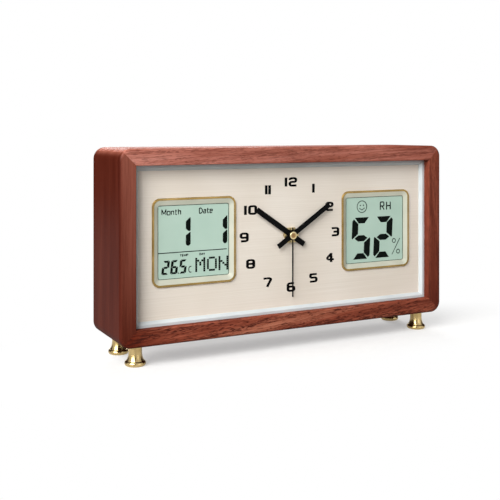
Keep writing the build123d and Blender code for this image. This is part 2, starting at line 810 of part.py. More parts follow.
with BuildPart() as movement_middle_plate:
    plate_width = shell_inner_width - 2 * layer_gap
    plate_height = gear_room_height - 2 * layer_gap
    block(gear_room, plate_width, plate_height, plate_near, plate_far)
    disc(pillar_places, stator_pillar_radius, plate_far, stator_near)
    disc([centre], collar_radius + running_fit, plate_near, plate_far, Mode.SUBTRACT)
    disc([setting_place], knob_shaft_radius + running_fit, plate_near, plate_far, Mode.SUBTRACT)
    pivots = [motion_place, third_place, fifth_place, rotor_place]
    disc(pivots, pivot_hole, plate_near, plate_far, Mode.SUBTRACT)
save(movement_middle_plate.part, "movement_middle_plate")

with BuildPart() as movement_rear_cover:
    cover_height = shell_top - bay_top - partition / 2
    cover_middle = dial_middle + (shell_top + bay_top + partition / 2) / 2
    cover_place = [(0, cover_middle)]
    block(cover_place, shell_width, cover_height, cover_near, cover_far, rear_cover_corner)
    bearings = [
        (centre, fifth_wheel_far + layer_gap, seconds_arbor_radius + pivot_fit),
        (third_place, seconds_wheel_far + layer_gap, pivot_hole),
        (fifth_place, stator_near, pivot_hole),
        (rotor_place, magnet_far + layer_gap, pivot_hole),
    ]
    for place, boss_near, hole_radius in bearings:
        disc([place], pivot_boss_radius, boss_near, cover_near)
        disc([place], hole_radius, boss_near, cover_near, Mode.SUBTRACT)
    disc(left_post_places, plate_post_radius, circuit_far, cover_near)
    disc([setting_place], knob_shaft_radius + running_fit, cover_near, cover_far, Mode.SUBTRACT)
save(movement_rear_cover.part, "movement_rear_cover")

with BuildPart() as bush_washer:
    disc([centre], washer_radius, dial_far, shell_near)
    disc([centre], bush_radius + thread_fit, dial_far, shell_near, Mode.SUBTRACT)
save(bush_washer.part, "bush_washer")

with BuildPart() as bush_nut:
    with BuildSketch(facing(nut_near)):
        with Locations(centre):
            RegularPolygon(nut_across_flats / 2, 6, major_radius=False, rotation=0)
            Circle(bush_radius + thread_fit, mode=Mode.SUBTRACT)
    back_to(nut_near, dial_near)
save(bush_nut.part, "bush_nut")

# Wheels that carry the hands
with BuildPart() as hour_wheel:
    toothed_wheel(centre, hour_wheel_teeth, hour_module, motion_angle, hour_wheel_near, hour_wheel_far)
    disc([centre], hour_tube_radius, hour_hand_near, hour_wheel_near)
    disc([centre], hour_bore_radius, hour_hand_near, hour_wheel_far, Mode.SUBTRACT)
save(hour_wheel.part, "hour_wheel")

with BuildPart() as cannon_pinion:
    cannon_near = hour_wheel_far + layer_gap
    toothed_wheel(centre, cannon_teeth, cannon_module, motion_angle, cannon_near, plate_near)
    disc([centre], collar_radius, plate_near, centre_wheel_far)
    disc([centre], hour_bore_radius - running_fit, minute_hand_near, cannon_near)
    bore = seconds_arbor_radius + running_fit
    disc([centre], bore, minute_hand_near, centre_wheel_far, Mode.SUBTRACT)
save(cannon_pinion.part, "cannon_pinion")

minute_wheel_phase = meshing_phase(motion_angle, cannon_teeth, motion_angle, minute_wheel_teeth)
with BuildPart() as minute_wheel:
    pinion_phase = meshing_phase(motion_angle, hour_wheel_teeth, motion_angle, minute_pinion_teeth)
    pinion = (minute_pinion_teeth, hour_module, pinion_phase)
    wheel = (minute_wheel_teeth, cannon_module, minute_wheel_phase)
    toothed_wheel(motion_place, *pinion, hour_wheel_near, motion_wheel_near)
    toothed_wheel(motion_place, *wheel, motion_wheel_near, motion_wheel_far)
    disc([motion_place], pivot_radius, floor_pivot + layer_gap / 2, hour_wheel_near)
    disc([motion_place], pivot_radius, motion_wheel_far, plate_far)
save(minute_wheel.part, "minute_wheel")

with BuildPart() as setting_knob:
    knob_phase = meshing_phase(setting_angle, minute_wheel_teeth, minute_wheel_phase, setting_teeth)
    pinion = (setting_teeth, cannon_module, knob_phase)
    toothed_wheel(setting_place, *pinion, motion_wheel_near, motion_wheel_far)
    disc([setting_place], pivot_radius, floor_pivot + layer_gap / 2, motion_wheel_near)
    disc([setting_place], knob_shaft_radius, motion_wheel_far, knob_near)
    disc([setting_place], knob_radius, knob_near, knob_far)
    grip_edge = setting_knob.edges().filter_by(GeomType.CIRCLE).sort_by(Axis.Y)[-1]
    fillet(grip_edge, knob_thickness * 0.15)
    with BuildSketch(facing(knob_near)):
        with Locations(setting_place):
            with PolarLocations(knob_radius, knob_flutes):
                Circle(knob_flute_radius)
    back_to(knob_near, knob_far, Mode.SUBTRACT)
save(setting_knob.part, "setting_knob")

# Wheels of the going train
with BuildPart() as centre_wheel:
    wheel = (centre_wheel_teeth, centre_module, third_angle)
    toothed_wheel(centre, *wheel, centre_wheel_near, centre_wheel_far)
    clutch_radius = collar_radius + pivot_fit
    disc([centre], clutch_radius, centre_wheel_near, centre_wheel_far, Mode.SUBTRACT)
save(centre_wheel.part, "centre_wheel")

with BuildPart() as third_wheel:
    pinion_phase = meshing_phase(third_angle, centre_wheel_teeth, third_angle, third_pinion_teeth)
    wheel_phase = meshing_phase(third_angle, seconds_pinion_teeth, third_angle, third_wheel_teeth)
    pinion = (third_pinion_teeth, centre_module, pinion_phase)
    wheel = (third_wheel_teeth, third_module, wheel_phase)
    toothed_wheel(third_place, *pinion, centre_wheel_near, third_wheel_near)
    toothed_wheel(third_place, *wheel, third_wheel_near, third_wheel_far)
    disc([third_place], pivot_radius, plate_near, centre_wheel_near)
    disc([third_place], pivot_radius, third_wheel_far, fifth_wheel_far)
save(third_wheel.part, "third_wheel")

with BuildPart() as seconds_wheel:
    pinion = (seconds_pinion_teeth, third_module, third_angle)
    wheel = (seconds_wheel_teeth, seconds_module, fifth_angle)
    toothed_wheel(centre, *pinion, third_wheel_near, seconds_wheel_near)
    toothed_wheel(centre, *wheel, seconds_wheel_near, seconds_wheel_far)
    disc([centre], seconds_arbor_radius, cap_near + cap_height * 0.6, third_wheel_near)
    disc([centre], seconds_arbor_radius, seconds_wheel_far, magnet_near)
save(seconds_wheel.part, "seconds_wheel")

with BuildPart() as fifth_wheel:
    pinion_phase = meshing_phase(fifth_angle, seconds_wheel_teeth, fifth_angle, fifth_pinion_teeth)
    pinion = (fifth_pinion_teeth, seconds_module, pinion_phase)
    wheel = (fifth_wheel_teeth, rotor_module, rotor_angle)
    toothed_wheel(fifth_place, *pinion, seconds_wheel_near, fifth_wheel_near)
    toothed_wheel(fifth_place, *wheel, fifth_wheel_near, fifth_wheel_far)
    disc([fifth_place], arbor_radius, plate_far + layer_gap / 2, seconds_wheel_near)
    disc([fifth_place], pivot_radius, plate_near, plate_far + layer_gap / 2)
    disc([fifth_place], pivot_radius, fifth_wheel_far, stator_far)
save(fifth_wheel.part, "fifth_wheel")

with BuildPart() as rotor:
    rotor_phase = meshing_phase(rotor_angle, fifth_wheel_teeth, rotor_angle, rotor_pinion_teeth)
    pinion = (rotor_pinion_teeth, rotor_module, rotor_phase)
    toothed_wheel(rotor_place, *pinion, fifth_wheel_near, magnet_near)
    disc([rotor_place], rotor_magnet_radius, magnet_near, magnet_far)
    disc([rotor_place], pivot_radius, plate_near, fifth_wheel_near)
    disc([rotor_place], pivot_radius, magnet_far, circuit_far)
save(rotor.part, "rotor")

# Motor parts and electronics of the movement
with BuildPart() as stator:
    yoke_width = stator_right - stator_left
    yoke_height = stator_yoke_top - stator_bottom
    yoke = [(coil_x, (stator_yoke_top + stator_bottom) / 2)]
    block(yoke, yoke_width, yoke_height, stator_near, stator_far)
    leg_top = coil_z + coil_core_height / 2
    leg_height = leg_top - stator_bottom
    leg_middle = (leg_top + stator_bottom) / 2
    legs = [
        (stator_left + stator_leg / 2, leg_middle),
        (stator_right - stator_leg / 2, leg_middle),
    ]
    block(legs, stator_leg, leg_height, stator_near, stator_far)
    disc([rotor_place], stator_hole_radius, stator_near, stator_far, Mode.SUBTRACT)
save(stator.part, "stator")

with BuildPart() as coil:
    coil_axis_depth = core_near + coil_core_thickness / 2
    coil_plane = Plane(
        (coil_x, coil_axis_depth - case_depth / 2, coil_z), x_dir=(0, 1, 0), z_dir=(1, 0, 0)
    )
    block([(coil_x, coil_z)], core_length, coil_core_height, core_near, stator_near)
    with BuildSketch(coil_plane):
        Circle(coil_radius)
    extrude(amount=coil_length / 2, both=True)
    for side in (-1, 1):
        with BuildSketch(coil_plane.offset(side * coil_length / 2)):
            Circle(coil_radius + coil_flange)
        extrude(amount=side * coil_flange_thickness)
save(coil.part, "coil")

with BuildPart() as movement_circuit_board:
    circuit_left = -shell_inner_width / 2 + layer_gap
    circuit_right = stator_left - circuit_gap
    circuit_width = circuit_right - circuit_left
    circuit_height = gear_room_height - 2 * layer_gap
    circuit_place = [((circuit_left + circuit_right) / 2, gear_room_middle)]
    block(circuit_place, circuit_width, circuit_height, circuit_near, circuit_far)
    disc([setting_place], knob_shaft_radius + circuit_gap, circuit_near, circuit_far, Mode.SUBTRACT)
    disc([third_place], pivot_boss_radius + circuit_gap, circuit_near, circuit_far, Mode.SUBTRACT)
save(movement_circuit_board.part, "movement_circuit_board")

with BuildPart() as quartz_crystal:
    crystal_x = circuit_left + crystal_inset
    crystal_depth = circuit_near - crystal_radius
    with BuildSketch(Plane.XY.offset(dial_middle)):
        with Locations((crystal_x, crystal_depth - case_depth / 2)):
            Circle(crystal_radius)
    extrude(amount=crystal_length)
save(quartz_crystal.part, "quartz_crystal")

with BuildPart() as aa_battery:
    battery_start = -shell_inner_width / 2 + contact_spring_depth
    battery_plane = Plane(
        (battery_start, battery_depth - case_depth / 2, battery_z), x_dir=(0, 1, 0), z_dir=(1, 0, 0)
    )
    with BuildSketch(battery_plane):
        Circle(battery_radius)
    extrude(amount=battery_body_length)
    fillet(aa_battery.edges().filter_by(GeomType.CIRCLE), battery_edge_round)
    with BuildSketch(battery_plane.offset(battery_body_length)):
        Circle(battery_nub_radius)
    extrude(amount=battery_nub_length)
save(aa_battery.part, "aa_battery")

with BuildPart() as battery_plus_contact:
    plate_x = shell_inner_width / 2 - plus_plate / 2
    contact_size = 2 * battery_radius * 0.7
    contact_near = battery_depth - contact_size / 2
    contact_far = battery_depth + contact_size / 2
    block([(plate_x, battery_z)], plus_plate, contact_size, contact_near, contact_far)
save(battery_plus_contact.part, "battery_plus_contact")

with BuildPart() as battery_minus_contact:
    wall_x = -shell_inner_width / 2
    leaf = plus_plate
    leaf_top = battery_z + contact_size / 2
    leaf_bottom = battery_z - contact_size / 2
    reach = contact_spring_depth - battery_gap / 2
    with BuildSketch(facing(contact_near)):
        with BuildLine():
            Polyline(
                (wall_x, leaf_bottom),
                (wall_x, leaf_top),
                (wall_x + leaf, leaf_top),
                (wall_x + reach, battery_z),
                (wall_x + reach - leaf, battery_z - leaf),
                (wall_x + leaf, leaf_top - 4 * leaf),
                (wall_x + leaf, leaf_bottom),
                close=True,
            )
        make_face()
    back_to(contact_near, contact_far)
save(battery_minus_contact.part, "battery_minus_contact")


# Hands, made upright at twelve and then turned to the time
def turned_hand(length, tail, width, near, far, hub_radius, bore_radius, clock_angle):
    """Straight hand with a round hub, turned clockwise by its angle."""
    turn = -clock_angle
    outward = polar(centre, (length - tail) / 2, 90 + turn)
    with BuildSketch(facing(near)) as outline:
        with Locations(outward):
            Rectangle(width, length + tail, rotation=turn)
        with Locations(centre):
            Circle(hub_radius)
            Circle(bore_radius, mode=Mode.SUBTRACT)
    back_to(near, far, Mode.ADD, outline.sketch)


with BuildPart() as hour_hand:
    blade = (hour_hand_length, hour_hand_tail, hour_hand_width, hour_hand_near, hour_hand_far)
    turned_hand(*blade, hand_hub_radius, hour_tube_radius, hour_hand_angle)
save(hour_hand.part, "hour_hand")

with BuildPart() as minute_hand:
    blade = (minute_hand_length, minute_hand_tail, minute_hand_width, minute_hand_near, minute_hand_far)
    minute_bore = hour_bore_radius - running_fit
    turned_hand(*blade, hand_hub_radius, minute_bore, minute_hand_angle)
save(minute_hand.part, "minute_hand")

with BuildPart() as second_hand:
    blade = (second_hand_length, second_hand_tail, second_hand_width, second_hand_near, second_hand_far)
    turned_hand(*blade, cap_radius * 0.6, seconds_arbor_radius, second_hand_angle)
save(second_hand.part, "second_hand")

with BuildPart() as second_hand_cap:
    disc([centre], cap_radius, cap_near, second_hand_near)
    rim_edge = second_hand_cap.edges().filter_by(GeomType.CIRCLE).sort_by(Axis.Y)[0]
    fillet(rim_edge, (cap_radius - cap_dish_radius) * 0.6)
    disc([centre], cap_dish_radius, cap_near, cap_near + cap_dish_depth, Mode.SUBTRACT)
    arbor_front = cap_near + cap_height * 0.6
    disc([centre], seconds_arbor_radius, arbor_front, second_hand_near, Mode.SUBTRACT)
save(second_hand_cap.part, "second_hand_cap")

print("movement depth", round(cover_far - shell_near, 2), "knob ends at depth", round(knob_far, 2))
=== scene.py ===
# %% [markdown]
# # Dressing a wooden desk clock
#
# The clock is a mitred oak box, stained mahogany, on four turned brass feet. A cream dial
# plate sits inside it with a quartz clock in the middle, a calendar display on the left and
# a humidity display on the right.
#
# Its solid parts come from a CAD model in real sizes. This lesson gives them their finishes,
# prints what is printed on them, and lights and films the clock as a catalogue would. The
# model is in metres: x to the right, y to the back and z up, with z = 0 where it stands.

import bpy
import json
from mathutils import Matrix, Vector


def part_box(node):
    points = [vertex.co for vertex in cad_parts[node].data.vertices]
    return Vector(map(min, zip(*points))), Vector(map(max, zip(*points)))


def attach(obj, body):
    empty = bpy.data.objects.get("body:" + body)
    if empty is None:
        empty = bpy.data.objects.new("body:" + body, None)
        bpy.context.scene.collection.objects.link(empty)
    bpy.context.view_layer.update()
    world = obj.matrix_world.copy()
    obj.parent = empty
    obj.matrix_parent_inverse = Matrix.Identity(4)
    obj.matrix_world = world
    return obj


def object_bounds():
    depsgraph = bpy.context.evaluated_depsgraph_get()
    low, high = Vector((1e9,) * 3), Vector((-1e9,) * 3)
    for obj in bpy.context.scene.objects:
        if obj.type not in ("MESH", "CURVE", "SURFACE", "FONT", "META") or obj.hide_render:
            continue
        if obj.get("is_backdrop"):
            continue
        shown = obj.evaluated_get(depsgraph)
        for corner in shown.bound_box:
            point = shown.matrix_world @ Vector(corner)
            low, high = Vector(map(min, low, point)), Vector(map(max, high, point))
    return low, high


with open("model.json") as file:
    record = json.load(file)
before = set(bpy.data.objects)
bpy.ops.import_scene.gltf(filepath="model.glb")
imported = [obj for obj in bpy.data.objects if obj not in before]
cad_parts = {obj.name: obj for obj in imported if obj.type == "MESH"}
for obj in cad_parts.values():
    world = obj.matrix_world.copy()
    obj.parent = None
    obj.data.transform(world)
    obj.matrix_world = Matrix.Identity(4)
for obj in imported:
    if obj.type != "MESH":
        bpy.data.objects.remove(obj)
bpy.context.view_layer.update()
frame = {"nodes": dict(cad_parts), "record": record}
parts = frame["nodes"]

# %% [markdown]
# ## Colours and nodes
#
# Colours are easiest to choose as the sRGB hex values of a paint program, but shaders count
# light, so one function turns a hex value into linear numbers.
#
# Every material below is a small graph. Adding a node, setting it and linking it takes
# three or four lines each time, so one helper does all of it, for shaders and for
# Geometry Nodes alike. The part of it that sets inputs also serves nodes already there.

# %% Colours, inputs and nodes
import json
import math

import bmesh
import bpy
from mathutils import Vector

MM = 0.001


def linear(code):
    """Turn an sRGB hex colour into linear red, green, blue and alpha."""
    channels = [int(code[place:place + 2], 16) / 255 for place in (1, 3, 5)]
    return (*(c / 12.92 if c <= 0.04045 else ((c + 0.055) / 1.055) ** 2.4 for c in channels), 1.0)


def connect(node, inputs):
    """Set a node's inputs to values and hex colours, or link them to sockets and nodes.

    Of a node, the first output that is in use is taken."""
    for socket, value in inputs.items():
        if isinstance(value, str):
            value = linear(value)
        if isinstance(value, bpy.types.Node):
            value = next(output for output in value.outputs if output.enabled)
        if isinstance(value, bpy.types.NodeSocket):
            node.id_data.links.new(value, node.inputs[socket])
        else:
            node.inputs[socket].default_value = value


def add_node(tree, kind, inputs=None, stops=None, **settings):
    """Add a node, with its settings, its inputs, and the stops of a colour ramp.

    A kind that is written without it gets the tree's own prefix, such as ShaderNode."""
    prefix = "" if "Node" in kind else tree.bl_idname.removesuffix("Tree")
    node = tree.nodes.new(prefix + kind)
    for name, value in settings.items():
        setattr(node, name, value)
    connect(node, inputs or {})
    if stops:
        ramp = node.color_ramp
        for place, _ in stops[1:-1]:
            ramp.elements.new(place)
        for element, (place, colour) in zip(ramp.elements, stops):
            element.position = place
            element.color = linear(colour)
    return node


print("mid grey is", round(linear("#808080")[0], 3), "of white light")

# %% [markdown]
# ## The start of every finish
#
# A finish needs a shader with its uniform values, an output, and patterns in real sizes.
# The first helper makes the bare material, and the second gives a cloudy pattern whose
# blots have a size in millimetres along each axis. A blot much longer one way than the
# other two is a streak, which is all that wood grain and brushed metal are. The patterns
# read Object coordinates, so they stay on the piece.
#
# Most finishes then go one way: the colour wanders between a few tones over large blots,
# and small marks change the gloss and stand up a little. The last two helpers make those.

# %% Bare finishes, patterns in millimetres and whole finishes
BLEND, COLOUR_A, COLOUR_B = 0, 6, 7        # inputs of the colour Mix node


def bare_finish(name, **values):
    """A material with one Principled shader, whose uniform values are set on its sockets."""
    material = bpy.data.materials.new(name)
    material.use_nodes = True
    tree = material.node_tree
    tree.nodes.clear()
    values = {socket.replace("_", " "): value for socket, value in values.items()}
    shader = add_node(tree, "BsdfPrincipled", values)
    add_node(tree, "OutputMaterial", {"Surface": shader})
    return material, tree, shader


def blots(tree, sizes, detail=2.0, seed=0.0, distortion=0.0, turn=0.0):
    """A cloudy pattern, from 0 to 1, whose blots have these sizes in mm along x, y and z.

    turn leans the pattern about y, the axis that points into the clock, in radians."""
    place = add_node(tree, "TexCoord")
    turned = add_node(tree, "Mapping", {"Vector": place.outputs["Object"],
        "Rotation": (0, turn, 0)})
    scaled = add_node(tree, "Mapping", {"Vector": turned,
        "Location": (seed, seed * 1.7, seed * 0.6),
        "Scale": [1 / (size * MM) for size in sizes]})
    return add_node(tree, "TexNoise", {"Vector": scaled, "Scale": 1.0, "Detail": detail,
        "Distortion": distortion})


def raise_surface(shader, height, depth, strength):
    """Bump: the height pattern stands up to this many mm from the surface."""
    bump = add_node(shader.id_data, "Bump", {"Height": height, "Distance": depth * MM,
        "Strength": strength})
    connect(shader, {"Normal": bump})


def cover(shader, colour, marks, gloss, relief):
    """Give a shader its colour, and let its gloss and relief follow a pattern of marks.

    gloss is the roughness where the marks are low and high, or None for no change, and
    relief is the depth in mm and the strength of the bump."""
    connect(shader, {"Base Color": colour})
    if gloss:
        connect(shader, {"Roughness": add_node(shader.id_data, "MapRange", {
            "Value": marks, "To Min": gloss[0], "To Max": gloss[1]})})
    raise_surface(shader, marks, *relief)


def finish(name, tones, tone_blots, marks_blots, gloss, relief, **values):
    """A finish whose colour follows one pattern, and its gloss and relief another.

    tones are two hex colours or the stops of a ramp, both blots are what blots() takes,
    and gloss and relief are what cover() takes."""
    material, tree, shader = bare_finish(name, **values)
    if isinstance(tones[0], str):
        tones = [(0.3, tones[0]), (0.7, tones[1])]
    colour = add_node(tree, "ValToRGB", {"Fac": blots(tree, *tone_blots)}, tones)
    cover(shader, colour, blots(tree, *marks_blots), gloss, relief)
    return material


def dress(material, *names):
    """Give CAD parts this material."""
    for name in names:
        for place in parts[name].material_slots:
            place.material = material


# %% [markdown]
# ## Stained oak
#
# Oak is ring porous: each year's growth starts with a band of wide pores, which a stain
# fills dark and a thin lacquer leaves open. So the surface shows three things: broad soft
# bands, fine streaks, and short dark pores along the grain, as little grooves. Real pores
# are about 0.3 mm wide. They are drawn twice as wide here, or they wouldn't show.
#
# The grain runs along each board: along x on the top and bottom, and along z on the sides.
# One function makes all four, because boards are never alike: each takes the stain in its
# own tone, shows more or fewer pores, and was sawn at its own slight angle to the grain.
# The wide side faces are darker than the narrow edges round the dial, which is painted
# shade, and the tone changes over the rounded edge between them. The side boards' lower
# ends are darker too, a painted shade as of light from above, and so is the bottom board's
# left end, where it meets the darkest of them. The top board's right end darkens a little.

# %% Oak with its grain along x or z
CASE_MIDDLE = 96.5                         # height of the case's middle
CASE_HALF_WIDTH, CASE_HALF_HEIGHT = 160.5, 79.5
EDGE_ROUND, EDGE_END = 3.0, 0.2            # from the side face to where its tone starts, ends
# Painted shade: this tint makes the wide side faces darker than the front.
SIDE_FACE_SHADE = "#96756A"                 # the side faces' tone is multiplied by this


def stained_oak(name, along, seed, tones, figure, pore_share, lean, end_shading):
    """Open-grained oak, stained mahogany, under a thin satin lacquer.

    tones are the stain's dark, middle and light hex colours, figure and pore_share are how
    strongly the streaks and the pores show, and lean is the angle in degrees between the
    grain and the board's edge. The last argument is where along the board, in mm from the
    case's middle, a painted shade starts to darken it and where it is darkest, and the tint
    that it has there. The wide side faces get a painted shade as well."""
    def sizes(length, width):
        return [length if axis == along else width for axis in "xyz"]

    turn = math.radians(lean)
    material, tree, shader = bare_finish(
        name, Coat_Weight=0.12, Coat_Roughness=0.32, Specular_IOR_Level=0.0)
    bands = blots(tree, sizes(200, 15), 3.0, seed, 0.5, turn)
    streaks = blots(tree, sizes(34, 1.1), 3.0, seed + 3, 0.6, turn)
    pores = blots(tree, sizes(6, 0.65), 1.5, seed + 5, 0.8, turn)
    rings = blots(tree, sizes(120, 5), 1.0, seed + 8, 0.5, turn)

    stain = add_node(tree, "ValToRGB", {"Fac": bands}, [(0.32, tones[0]), (0.50, tones[1]),
        (0.68, tones[2])])
    streaked = add_node(tree, "ValToRGB", {"Fac": streaks}, [(0.34, "#BDA69E"),
        (0.50, "#EDE4E0"), (0.68, "#FFFFFF")])
    wood = add_node(tree, "Mix", {BLEND: figure, COLOUR_A: stain, COLOUR_B: streaked},
        data_type="RGBA", blend_type="MULTIPLY")

    # The pores crowd into the rings' early wood, and leave the late wood plainer.
    crowd = add_node(tree, "Math", {0: rings, 1: 0.45, 2: pores}, operation="MULTIPLY_ADD")
    open_pore = add_node(tree, "MapRange", {"Value": crowd, "From Min": 0.74, "From Max": 0.84,
        "To Max": pore_share})

    place = add_node(tree, "TexCoord")
    centred = add_node(tree, "VectorMath", {0: place.outputs["Object"],
        1: (0, 0, CASE_MIDDLE * MM)}, operation="SUBTRACT")
    axes = add_node(tree, "SeparateXYZ", {"Vector": centred})
    outwards = add_node(tree, "Math", {0: axes.outputs["X"]}, operation="ABSOLUTE")
    side_face = add_node(tree, "MapRange", {"Value": outwards,
        "From Min": (CASE_HALF_WIDTH - EDGE_ROUND) * MM,
        "From Max": (CASE_HALF_WIDTH - EDGE_END) * MM}, interpolation_type="SMOOTHSTEP")
    # Each board darkens towards one end: painted shade on the side boards' lower ends and on the
    # bottom board's left end. The top board's right end darkens a little.
    start, end, tint = end_shading
    toward_end = add_node(tree, "MapRange", {"Value": axes.outputs[along.upper()],
        "From Min": start * MM, "From Max": end * MM})
    shaded_toward_end = add_node(tree, "Mix", {BLEND: toward_end, COLOUR_A: wood, COLOUR_B: tint},
        data_type="RGBA", blend_type="MULTIPLY")
    # Painted shade on the wide side faces, blended in over the rounded edge.
    shaded_side = add_node(tree, "Mix", {BLEND: 1.0, COLOUR_A: wood, COLOUR_B: SIDE_FACE_SHADE},
        data_type="RGBA", blend_type="MULTIPLY")
    stained = add_node(tree, "Mix", {BLEND: side_face, COLOUR_A: shaded_toward_end, COLOUR_B: shaded_side},
        data_type="RGBA")
    colour = add_node(tree, "Mix", {BLEND: open_pore, COLOUR_A: stained, COLOUR_B: "#3E1710"},
        data_type="RGBA")
    gloss = add_node(tree, "MapRange", {"Value": streaks, "To Min": 0.4, "To Max": 0.55})
    connect(shader, {"Base Color": colour, "Roughness": gloss})
    height = add_node(tree, "Math", {0: 1.0, 1: open_pore}, operation="SUBTRACT")
    raise_surface(shader, height, 0.15, 0.7)
    return material


top, bottom = CASE_HALF_HEIGHT, -CASE_HALF_HEIGHT
boards = {
    # board: grain's axis, seed, tones, streaks, pores, lean, and where and how the painted shade
    # darkens its end
    "top": ("x", 1.0, ("#985543", "#B47060", "#C58475"), 0.9, 0.45, 3, (90, 160, "#E6D6CF")),
    "bottom": ("x", 14.0, ("#763728", "#9C533E", "#B9745B"), 1.0, 0.9, 5,
               (-112, -150, "#AE8878")),
    "left": ("z", 27.0, ("#7E4334", "#8B4F40", "#975B4B"), 0.45, 0.08, 0,
             (top, bottom, "#A27C69")),
    "right": ("z", 41.0, ("#7E3C2D", "#914D3A", "#A15C47"), 0.7, 0.4, 3,
              (top, bottom, "#BFA89F")),
}
for board, look in boards.items():
    dress(stained_oak("stained_oak_" + board, *look), board + "_board")
print("boards:", len(boards))

# %% [markdown]
# ## Brass
#
# The feet are turned on a lathe, so their polish is made of fine rings round the upright
# axis: streaks that are thin along z and endless the other ways. The nut on the clock's
# bush is stamped and lightly brushed. Lacquered brass is a metal with a warm yellow
# reflection, and the only colour of a metal is the colour of its reflection.

# %% Turned feet, stamped nut and machined inserts
def brass(name, dark, light, sizes, roughness, depth, stretch=0.0):
    """Brass whose tool marks have these sizes in mm along x, y and z.

    stretch, from 0 to 1, draws its reflections out along z, across the lathe's rings."""
    material = finish(
        name, (dark, light), ((9, 9, 9), 3.0, 2.0), (sizes, 2.0, 6.0),
        (roughness * 0.7, roughness * 1.4), (depth, 0.4),
        Metallic=1.0, Anisotropic=stretch, Anisotropic_Rotation=0.25)
    tree = material.node_tree
    round_z = add_node(tree, "Tangent", direction_type="RADIAL", axis="Z")
    connect(tree.nodes["Principled BSDF"], {"Tangent": round_z})
    return material


dress(brass("turned_lacquered_brass", "#A8905F", "#C6AE7C", (400, 400, 0.45), 0.22, 0.02, 0.85),
      "foot_front_left", "foot_front_right", "foot_rear_left", "foot_rear_right")
dress(brass("stamped_brass", "#A89468", "#BBA87B", (12, 12, 0.5), 0.34, 0.01), "bush_nut")
dress(brass("machined_brass", "#B98F4A", "#CDA55E", (400, 400, 0.8), 0.3, 0.04), "foot_inserts")

# %% [markdown]
# ## The cap of the second hand
#
# A small brass cup covers the end of the second hand's tube. Its rim is polished and pale,
# and its dished middle is darker and more orange, which is painted shade in the dish. Both
# are one turned piece, so one metal does, whose colour follows the distance from the dial's axis.

# %% Cap
DIAL_CENTRE = sum(corner.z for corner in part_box("second_hand_cap")) / 2 / MM
DISH_RADIUS = 2.4
CAP_RADIUS = 3.5

material, tree, shader = bare_finish("turned_brass_cap", Metallic=1.0)
place = add_node(tree, "TexCoord")
from_axis = add_node(tree, "Mapping", {"Vector": place.outputs["Object"],
    "Location": (0, 0, -DIAL_CENTRE * MM), "Scale": (1, 0, 1)})
radius = add_node(tree, "VectorMath", {0: from_axis}, operation="LENGTH")
share = add_node(tree, "MapRange", {"Value": radius, "From Max": CAP_RADIUS * MM})
dish_end = DISH_RADIUS / CAP_RADIUS
# Painted shade in the dish, paler colour on the rim.
colour = add_node(tree, "ValToRGB", {"Fac": share}, [(0.0, "#7C5F40"),
    (dish_end - 0.08, "#9A7B52"), (dish_end + 0.04, "#D6C79E"), (1.0, "#C6B78D")])
rings = add_node(tree, "TexNoise", {"Vector": radius, "Scale": 1 / (0.25 * MM), "Detail": 1.0})
cover(shader, colour, rings, (0.18, 0.34), (0.02, 0.4))
dress(material, "second_hand_cap")

# %% [markdown]
# ## The dial
#
# The dial is a sheet faced with cream foil, brushed from side to side. The brushing shows
# as very faint level lines: a change of one or two steps in colour, and a little in gloss.
# The lines are drawn 0.5 mm high, where real ones are finer than a tenth.

# %% Cream dial foil
material, tree, shader = bare_finish("brushed_cream_foil", Specular_IOR_Level=0.25)
brushing = blots(tree, (90, 400, 0.5), 3.0, 4.0)
clouding = blots(tree, (60, 60, 60), 1.0, 9.0)
lines = add_node(tree, "ValToRGB", {"Fac": brushing}, [(0.25, "#E3DACD"), (0.5, "#E8DFD3"),
    (0.75, "#ECE4D9")])
clouds = add_node(tree, "ValToRGB", {"Fac": clouding}, [(0.3, "#F7F5F2"), (0.7, "#FFFFFF")])
colour = add_node(tree, "Mix", {BLEND: 1.0, COLOUR_A: lines, COLOUR_B: clouds},
    data_type="RGBA", blend_type="MULTIPLY")
cover(shader, colour, brushing, (0.42, 0.58), (0.02, 0.5))
dress(material, "dial_plate")

# %% [markdown]
# ## Display frames
#
# Each display sits in a moulded frame: a flat rim plated pale gold, and a satin champagne
# slope down to the glass. It is one moulding with two finishes, and the border between
# them is a rounded rectangle. The distance to such a shape is short to work out: fold the
# point into one quarter, take away the straight part, and measure what is left from the
# corner's centre. Both frames are the same distance from the middle, so the fold at x = 0
# serves both.

# %% Gold rim and champagne slope
rim_low, rim_high = (Vector(corner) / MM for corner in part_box("humidity_bezel"))
FRAME_SIDE = (rim_low.x + rim_high.x) / 2  # middle of a display, left or right of the axis
RIM_HALF_WIDTH, RIM_HALF_HEIGHT = (rim_high.x - rim_low.x) / 2, (rim_high.z - rim_low.z) / 2
RIM_CORNER = 7.0
RIM_WIDTH = 1.9

material, tree, shader = bare_finish("gold_rim_and_champagne_slope")
place = add_node(tree, "TexCoord")
point = add_node(tree, "Mapping", {"Vector": place.outputs["Object"],
    "Location": (0, 0, -DIAL_CENTRE * MM)})
